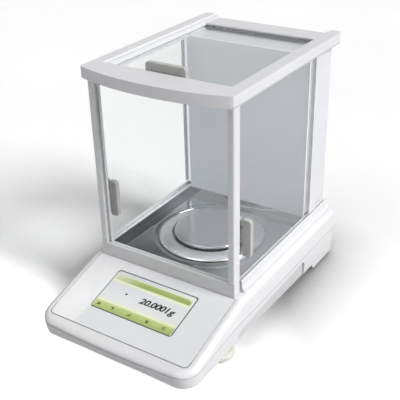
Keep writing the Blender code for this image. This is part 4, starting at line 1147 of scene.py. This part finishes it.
def build_pan():
    pan = [(0.0, PAN_TOP, 0), (PAN_R - 2.4, PAN_TOP, 0.6), (PAN_R - 0.3, PAN_TOP - 0.3, 0.6),
           (PAN_R, PAN_TOP - 1.4, 0.5), (PAN_R, PAN_TOP - 4.0, 0.4),
           (PAN_R - 1.2, PAN_TOP - 4.0, 0.4), (PAN_R - 1.2, PAN_TOP - 1.6, 0),
           (5.4, PAN_TOP - 1.6, 0), (5.4, PAN_TOP - 2.9, 0), (0.0, PAN_TOP - 2.9, 0)]
    ob = turned("weighing_pan_disc", pan, 4, 144, PAN_CENTRE, 40.0)
    settle(ob, PAN_STEEL, "pan", "pan_steel", "weighing_pan")

    carrier = [(0.0, 58.4, 0), (3.0, 58.4, 0.4), (3.0, 69.5, 1.5), (8.0, 71.2, 1.0),
               (26.0, 71.2, 0.5), (26.0, 74.1, 0.5), (5.8, 74.1, 0.2), (5.8, 72.8, 0),
               (0.0, 72.8, 0)]
    ob = turned("pan_carrier", carrier, 3, 64, PAN_CENTRE, 40.0)
    settle(ob, ALUMINIUM, "hanger", "cast_aluminium", "pan_support")


# ========================================================================== feet
def fluted(r, angle):
    """36 shallow flutes round the rim of a levelling wheel."""
    if r < WHEEL_R - 1.6:
        return r
    return r - 0.55 * (0.5 - 0.5 * math.cos(36 * angle)) ** 0.7


def build_feet():
    wheel = [(0.0, 1.8, 0), (2.8, 1.8, 0), (2.8, WHEEL_Z0, 0.6), (WHEEL_R - 1.2, WHEEL_Z0, 0.7),
             (WHEEL_R, WHEEL_Z0 + 1.4, 0.6), (WHEEL_R, WHEEL_Z1 - 2.0, 0.8),
             (WHEEL_R - 2.0, WHEEL_Z1, 1.0), (STEM_R, WHEEL_Z1, 0.8), (STEM_R, STEM_TOP, 0.4),
             (0.0, STEM_TOP, 0)]
    pad = [(0.0, 0.0, 0), (11.4, 0.0, 0.3), (12.0, 0.8, 0.3), (12.0, 2.8, 0.6),
           (11.0, 3.7, 0.5), (3.3, 3.7, 0.2), (3.3, 1.4, 0), (0.0, 1.4, 0)]
    rear = [(0.0, 0.0, 0), (9.2, 0.0, 0.4), (10.0, 0.9, 0.4), (10.0, 4.7, 0.2), (0.0, 4.7, 0)]
    for side, tag in ((-1, "left"), (1, "right")):
        centre = (side * FOOT_X, FOOT_Y)
        ob = turned(tag + "_levelling_knob", wheel, 3, 216, centre, 45.0, fluted)
        settle(ob, WHEEL, tag + "_wheel", "wheel_plastic", tag + "_levelling_wheel")
        ob = turned(tag + "_rubber_pad", pad, 3, 64, centre, 45.0)
        settle(ob, RUBBER, tag + "_foot", "foot_rubber", tag + "_foot_pad")
        ob = turned(tag + "_rear_rubber_foot", rear, 3, 64, (side * 80.0, 158.0), 45.0)
        settle(ob, RUBBER, "housing", "foot_rubber", tag + "_rear_foot")


# ======================================================================= handles
# the side grips have one fin inside the glass and one outside: distance from the middle, z
INNER_FIN = [(76.0, 112.2), (76.9, 110.0), (78.6, 109.0), (85.7, 109.0), (85.7, 153.0),
             (78.6, 153.0), (76.9, 152.0), (76.0, 149.8)]
OUTER_FIN = [(89.3, 109.0), (96.4, 109.0), (98.1, 110.0), (99.0, 112.2), (99.0, 149.8),
             (98.1, 152.0), (96.4, 153.0), (89.3, 153.0)]
TOP_GRIP = [(-24.5, 286.8), (24.5, 286.8), (24.5, 299.6), (23.8, 301.6), (22.2, 303.0),
            (-22.2, 303.0), (-23.8, 301.6), (-24.5, 299.6)]    # x, z


def finger_hollows(x, z, half_x, half_z):
    """Cutters for a hollow in the front and rear face of a fin."""
    return [prism(rounded(x, z, half_x, half_z, 2.4, 5), "y", y0, y1)
            for y0, y1 in ((HANDLE_Y0 - 1.0, HANDLE_Y0 + HOLLOW_DEPTH),
                           (HANDLE_Y1 - HOLLOW_DEPTH, HANDLE_Y1 + 1.0))]


def build_handles():
    for side, tag in ((-1, "left"), (1, "right")):
        ob, fin = [prism([(side * x, z) for x, z in points], "y", HANDLE_Y0, HANDLE_Y1, name)
                   for points, name in ((INNER_FIN, tag + "_door_grip"), (OUTER_FIN, "cutter"))]
        pins = [prism(circle(HANDLE_Y, z, 1.9, 24), "x", *span(side, 84.5, 90.5))
                for z in (120.0, 142.0)]
        cut(ob, [fin] + pins, "UNION")
        cut(ob, finger_hollows(side * 80.6, 131.0, 3.0, 17.0)
            + finger_hollows(side * 94.4, 131.0, 3.0, 17.0))
        soften(ob, 0.45, 3)
        settle(ob, HANDLE_GREY, tag + "_door", "handle_grey", tag + "_door_handle")
    ob = prism(TOP_GRIP, "y", HANDLE_Y0, HANDLE_Y1, "top_door_grip")
    cut(ob, [prism(circle(x, HANDLE_Y, 1.9, 24), "z", TOP_GLASS_Z0, 289.0)
             for x in (-14.0, 14.0)], "UNION")
    cut(ob, finger_hollows(0.0, 295.6, 19.5, 3.6))
    soften(ob, 0.45, 3)
    settle(ob, HANDLE_GREY, "top_door", "handle_grey", "top_door_handle")


# ================================================================= rear fittings
def build_socket():
    """Nine-pin socket in the rear wall: shell, pins and two hexagonal studs."""
    centre_x, stud_z, pin_pitch = 36.0, 53.0, 4.0
    ob = prism([(25.0, 48.2), (47.0, 48.2), (49.2, 57.8), (22.8, 57.8)], "y", 170.9, 177.6,
               "socket_shell")
    cut(ob, [prism([(25.9, 49.0), (46.1, 49.0), (48.0, 57.0), (24.0, 57.0)], "y", 172.0, 190.0)])
    soften(ob, 0.25, 2)
    settle(ob, ZINC, "housing", "screw_zinc")

    pin_verts, pin_faces = turned_data(
        [(0.0, 0.0), (0.75, 0.0), (0.75, 4.0), (0.4, 4.6), (0.0, 4.6)], 16, 0, 0)
    pins = []
    for count, row_z in ((5, 54.8), (4, 51.4)):
        for i in range(count):
            pin_x = centre_x + (i - (count - 1) / 2) * pin_pitch
            pins.append(([(pin_x + x, 171.6 + z, row_z - y) for x, y, z in pin_verts],
                         pin_faces))
    settle(loose("socket_pins", *joined(pins)), BRASS, "housing", "brass_insert")

    verts, faces = prism_data(circle(0, 0, 2.6, 6), "y", 177.0, 179.4)
    for i, stud_x in enumerate((centre_x - 17.0, centre_x + 17.0)):
        ob = loose("jack_stud_%d" % (i + 1),
                   [(stud_x + x, y, stud_z + z) for x, y, z in verts], faces)
        cut(ob, [prism(circle(stud_x, stud_z, 1.1, 20), "y", 178.0, 182.0)])
        soften(ob, 0.2, 2)
        settle(ob, ZINC, "housing", "screw_zinc")


build_upper_cover()
build_lower_tray()
build_console()
build_reading()
build_marks()
build_roof()
build_floor()
build_ring()
build_pan()
build_feet()
build_handles()
build_socket()

# ============================================================ carried-over nodes
dress("front_sill left_front_post right_front_post left_lower_rail right_lower_rail "
      "rear_top_cap", FRAME_WHITE, width=0.35, segments=3)
dress("left_door_trim right_door_trim", TRIM_WHITE, width=0.25)
dress("rear_column", COLUMN, width=0.6, segments=3)
dress("rear_cover", COLUMN, width=0.4)
dress("back_panel", BACK_PANEL, width=0.3)
dress("front_glass", FRONT_GLASS, width=0.3)
dress("left_door_glass right_door_glass", DOOR_GLASS, width=0.3)
dress("top_door_glass", TOP_GLASS, width=0.3)
dress("lcd_module position_sensor serial_port power_jack", BLACK, width=0.2)
dress("display_board main_board", BOARD_FLAT)
dress("power_board", BOARD_UPRIGHT)
dress("ribbon_cable", RIBBON)
dress("cell_base hanger lever_beam", ALUMINIUM, width=0.35)
dress("upper_guide lower_guide", SPRING)
dress("force_coil", COPPER)
dress("magnet_pot", MAGNET)
dress("left_foot_nut right_foot_nut", BRASS)
dress("rear_cover_screw_1 rear_cover_screw_2 tray_screw_1 tray_screw_2 tray_screw_3 "
      "tray_screw_4", ZINC)

# ======================================================================== stage
AMBIENT = 0.24
# name, direction towards the light, strength, angular size in degrees
SUNS = (("key_right", (1.22, 0.05, 1.0), 1.06, 26.0),
        ("key_front", (-0.20, -0.60, 1.0), 0.17, 34.0))
# what glossy rays see from below to above: height on the ramp, grey
REFLECTED = ((0.506, 0.58), (0.520, 0.15), (0.66, 0.20), (0.78, 0.75))


def studio_floor_material():
    mat = Shading("studio_floor_pale")
    broad = mat.clouds((3, 3, 3), detail=3.0, rough=0.5)
    fine = mat.grain(300.0, detail=2.0, rough=0.5)
    color = mat.mix(mat.remap(broad, MIDDLE), (0.93, 0.93, 0.93, 1), (0.955, 0.955, 0.955, 1))
    seen = mat.node("LightPath").outputs["Is Camera Ray"]
    # light thrown back up by the floor is held below what the camera sees
    color = mat.mix(seen, (0.62, 0.62, 0.63, 1), color)
    occlusion = mat.node("AmbientOcclusion", samples=8)
    occlusion.inputs["Distance"].default_value = 0.085
    # contact shade, kept away from the front
    open_air = mat.calc("POWER", occlusion.outputs["AO"], 1.7)
    open_air = mat.max(open_air, mat.remap(mat.xyz()[1], (-0.050, 0.090), (0.95, 0.0),
                                           smooth=True))
    dark = mat.mix(1.0, color, (0.20, 0.20, 0.20, 1), blend="MULTIPLY")
    color = mat.mix(open_air, dark, color)
    # glow towards the front, which clears the shade under the object's front
    glow = mat.mul(mat.remap(mat.xyz()[1], (-0.044, -0.129), (0.0, 0.85), smooth=True), seen)
    shader = mat.principled(
        Base_Color=color, Roughness=0.75, Normal=mat.bump(fine, strength=0.02, distance=0.0002),
        Specular_IOR_Level=0.15, Emission_Color=(1.0, 1.0, 1.0, 1.0), Emission_Strength=glow)
    return mat.done(shader, (0.95, 0.95, 0.95, 1.0))


def build_studio_floor():
    radius, n = 14.0, 96        # metres
    material = studio_floor_material()
    mesh = bpy.data.meshes.new("studio_floor")
    mesh.from_pydata([(x, y, 0.0) for x, y in circle(0, 0, radius, n)], [], [tuple(range(n))])
    mesh.materials.append(material)
    floor = link(bpy.data.objects.new("studio_floor", mesh))
    floor.location = (0, 0, -0.0002)


def build_world():
    """Separate backgrounds for diffuse light, for reflections and for the camera."""
    world = bpy.data.worlds.new("studio")
    bpy.context.scene.world = world
    world.use_nodes = True
    nodes, links = world.node_tree.nodes, world.node_tree.links
    nodes.clear()
    output = nodes.new("ShaderNodeOutputWorld")
    rays = nodes.new("ShaderNodeLightPath")

    def background(color, strength):
        node = nodes.new("ShaderNodeBackground")
        node.inputs[0].default_value = color
        node.inputs[1].default_value = strength
        return node

    def choose(ray, otherwise, chosen):
        node = nodes.new("ShaderNodeMixShader")
        for socket, value in zip(node.inputs, (rays.outputs[ray], otherwise.outputs[0],
                                               chosen.outputs[0])):
            links.new(value, socket)
        return node

    ambient = background((0.995, 0.998, 1.0, 1), AMBIENT)
    coordinates = nodes.new("ShaderNodeTexCoord")
    separate = nodes.new("ShaderNodeSeparateXYZ")
    links.new(coordinates.outputs["Generated"], separate.inputs[0])
    ramp = nodes.new("ShaderNodeValToRGB")
    stops = ramp.color_ramp.elements
    stops[0].position = 0.0
    stops[0].color = (0.62, 0.62, 0.63, 1)
    stops[1].position = 0.95
    stops[1].color = (0.95, 0.95, 0.95, 1)
    for position, grey in REFLECTED:
        stops.new(position).color = (grey, grey, grey * 1.01, 1)
    links.new(separate.outputs[2], ramp.inputs[0])
    reflected = background((1, 1, 1, 1), 1.0)
    links.new(ramp.outputs[0], reflected.inputs[0])
    lighting = choose("Is Glossy Ray", ambient, reflected)
    backdrop = background((1.0, 1.0, 1.0, 1), 1.2)
    links.new(choose("Is Camera Ray", lighting, backdrop).outputs[0], output.inputs[0])


def build_sun(name, toward, strength, spread):
    light = bpy.data.lights.new(name, "SUN")
    light.energy = strength * math.pi
    light.angle = math.radians(spread)
    ob = link(bpy.data.objects.new(name, light))
    ob.location = Vector(toward).normalized() * 2.0
    ob.rotation_mode = "QUATERNION"
    ob.rotation_quaternion = (-Vector(toward)).to_track_quat("-Z", "Y")


# degrees: round from the front towards the right, above the horizon, and about the view
CAMERA_TURN, CAMERA_RISE, CAMERA_ROLL = 33.56932983, 28.23582853, -1.4549268
CAMERA_PLACE = (0.4246110, -0.6320058, 0.5376316)


def build_camera():
    data = bpy.data.cameras.new("camera")
    data.sensor_width = 36.0
    data.lens = 68.0
    data.clip_start = 0.05
    data.clip_end = 50.0
    camera = bpy.data.objects.new("camera", data)
    turn, rise, roll = [math.radians(a) for a in (CAMERA_TURN, CAMERA_RISE, CAMERA_ROLL)]
    back = Vector((math.sin(turn) * math.cos(rise), -math.cos(turn) * math.cos(rise),
                   math.sin(rise)))
    right = (-back).cross(Vector((0, 0, 1))).normalized()
    up = right.cross(-back)
    rolled_right = right * math.cos(roll) + up * math.sin(roll)
    rolled_up = up * math.cos(roll) - right * math.sin(roll)
    matrix = Matrix((rolled_right, rolled_up, back)).transposed().to_4x4()
    matrix.translation = Vector(CAMERA_PLACE)
    camera.matrix_world = matrix
    bpy.context.scene.camera = link(camera)


build_studio_floor()
build_world()
for sun in SUNS:
    build_sun(*sun)
build_camera()

view = bpy.context.scene.view_settings
view.view_transform = "Standard"
view.look = "None"
view.exposure = 0.0
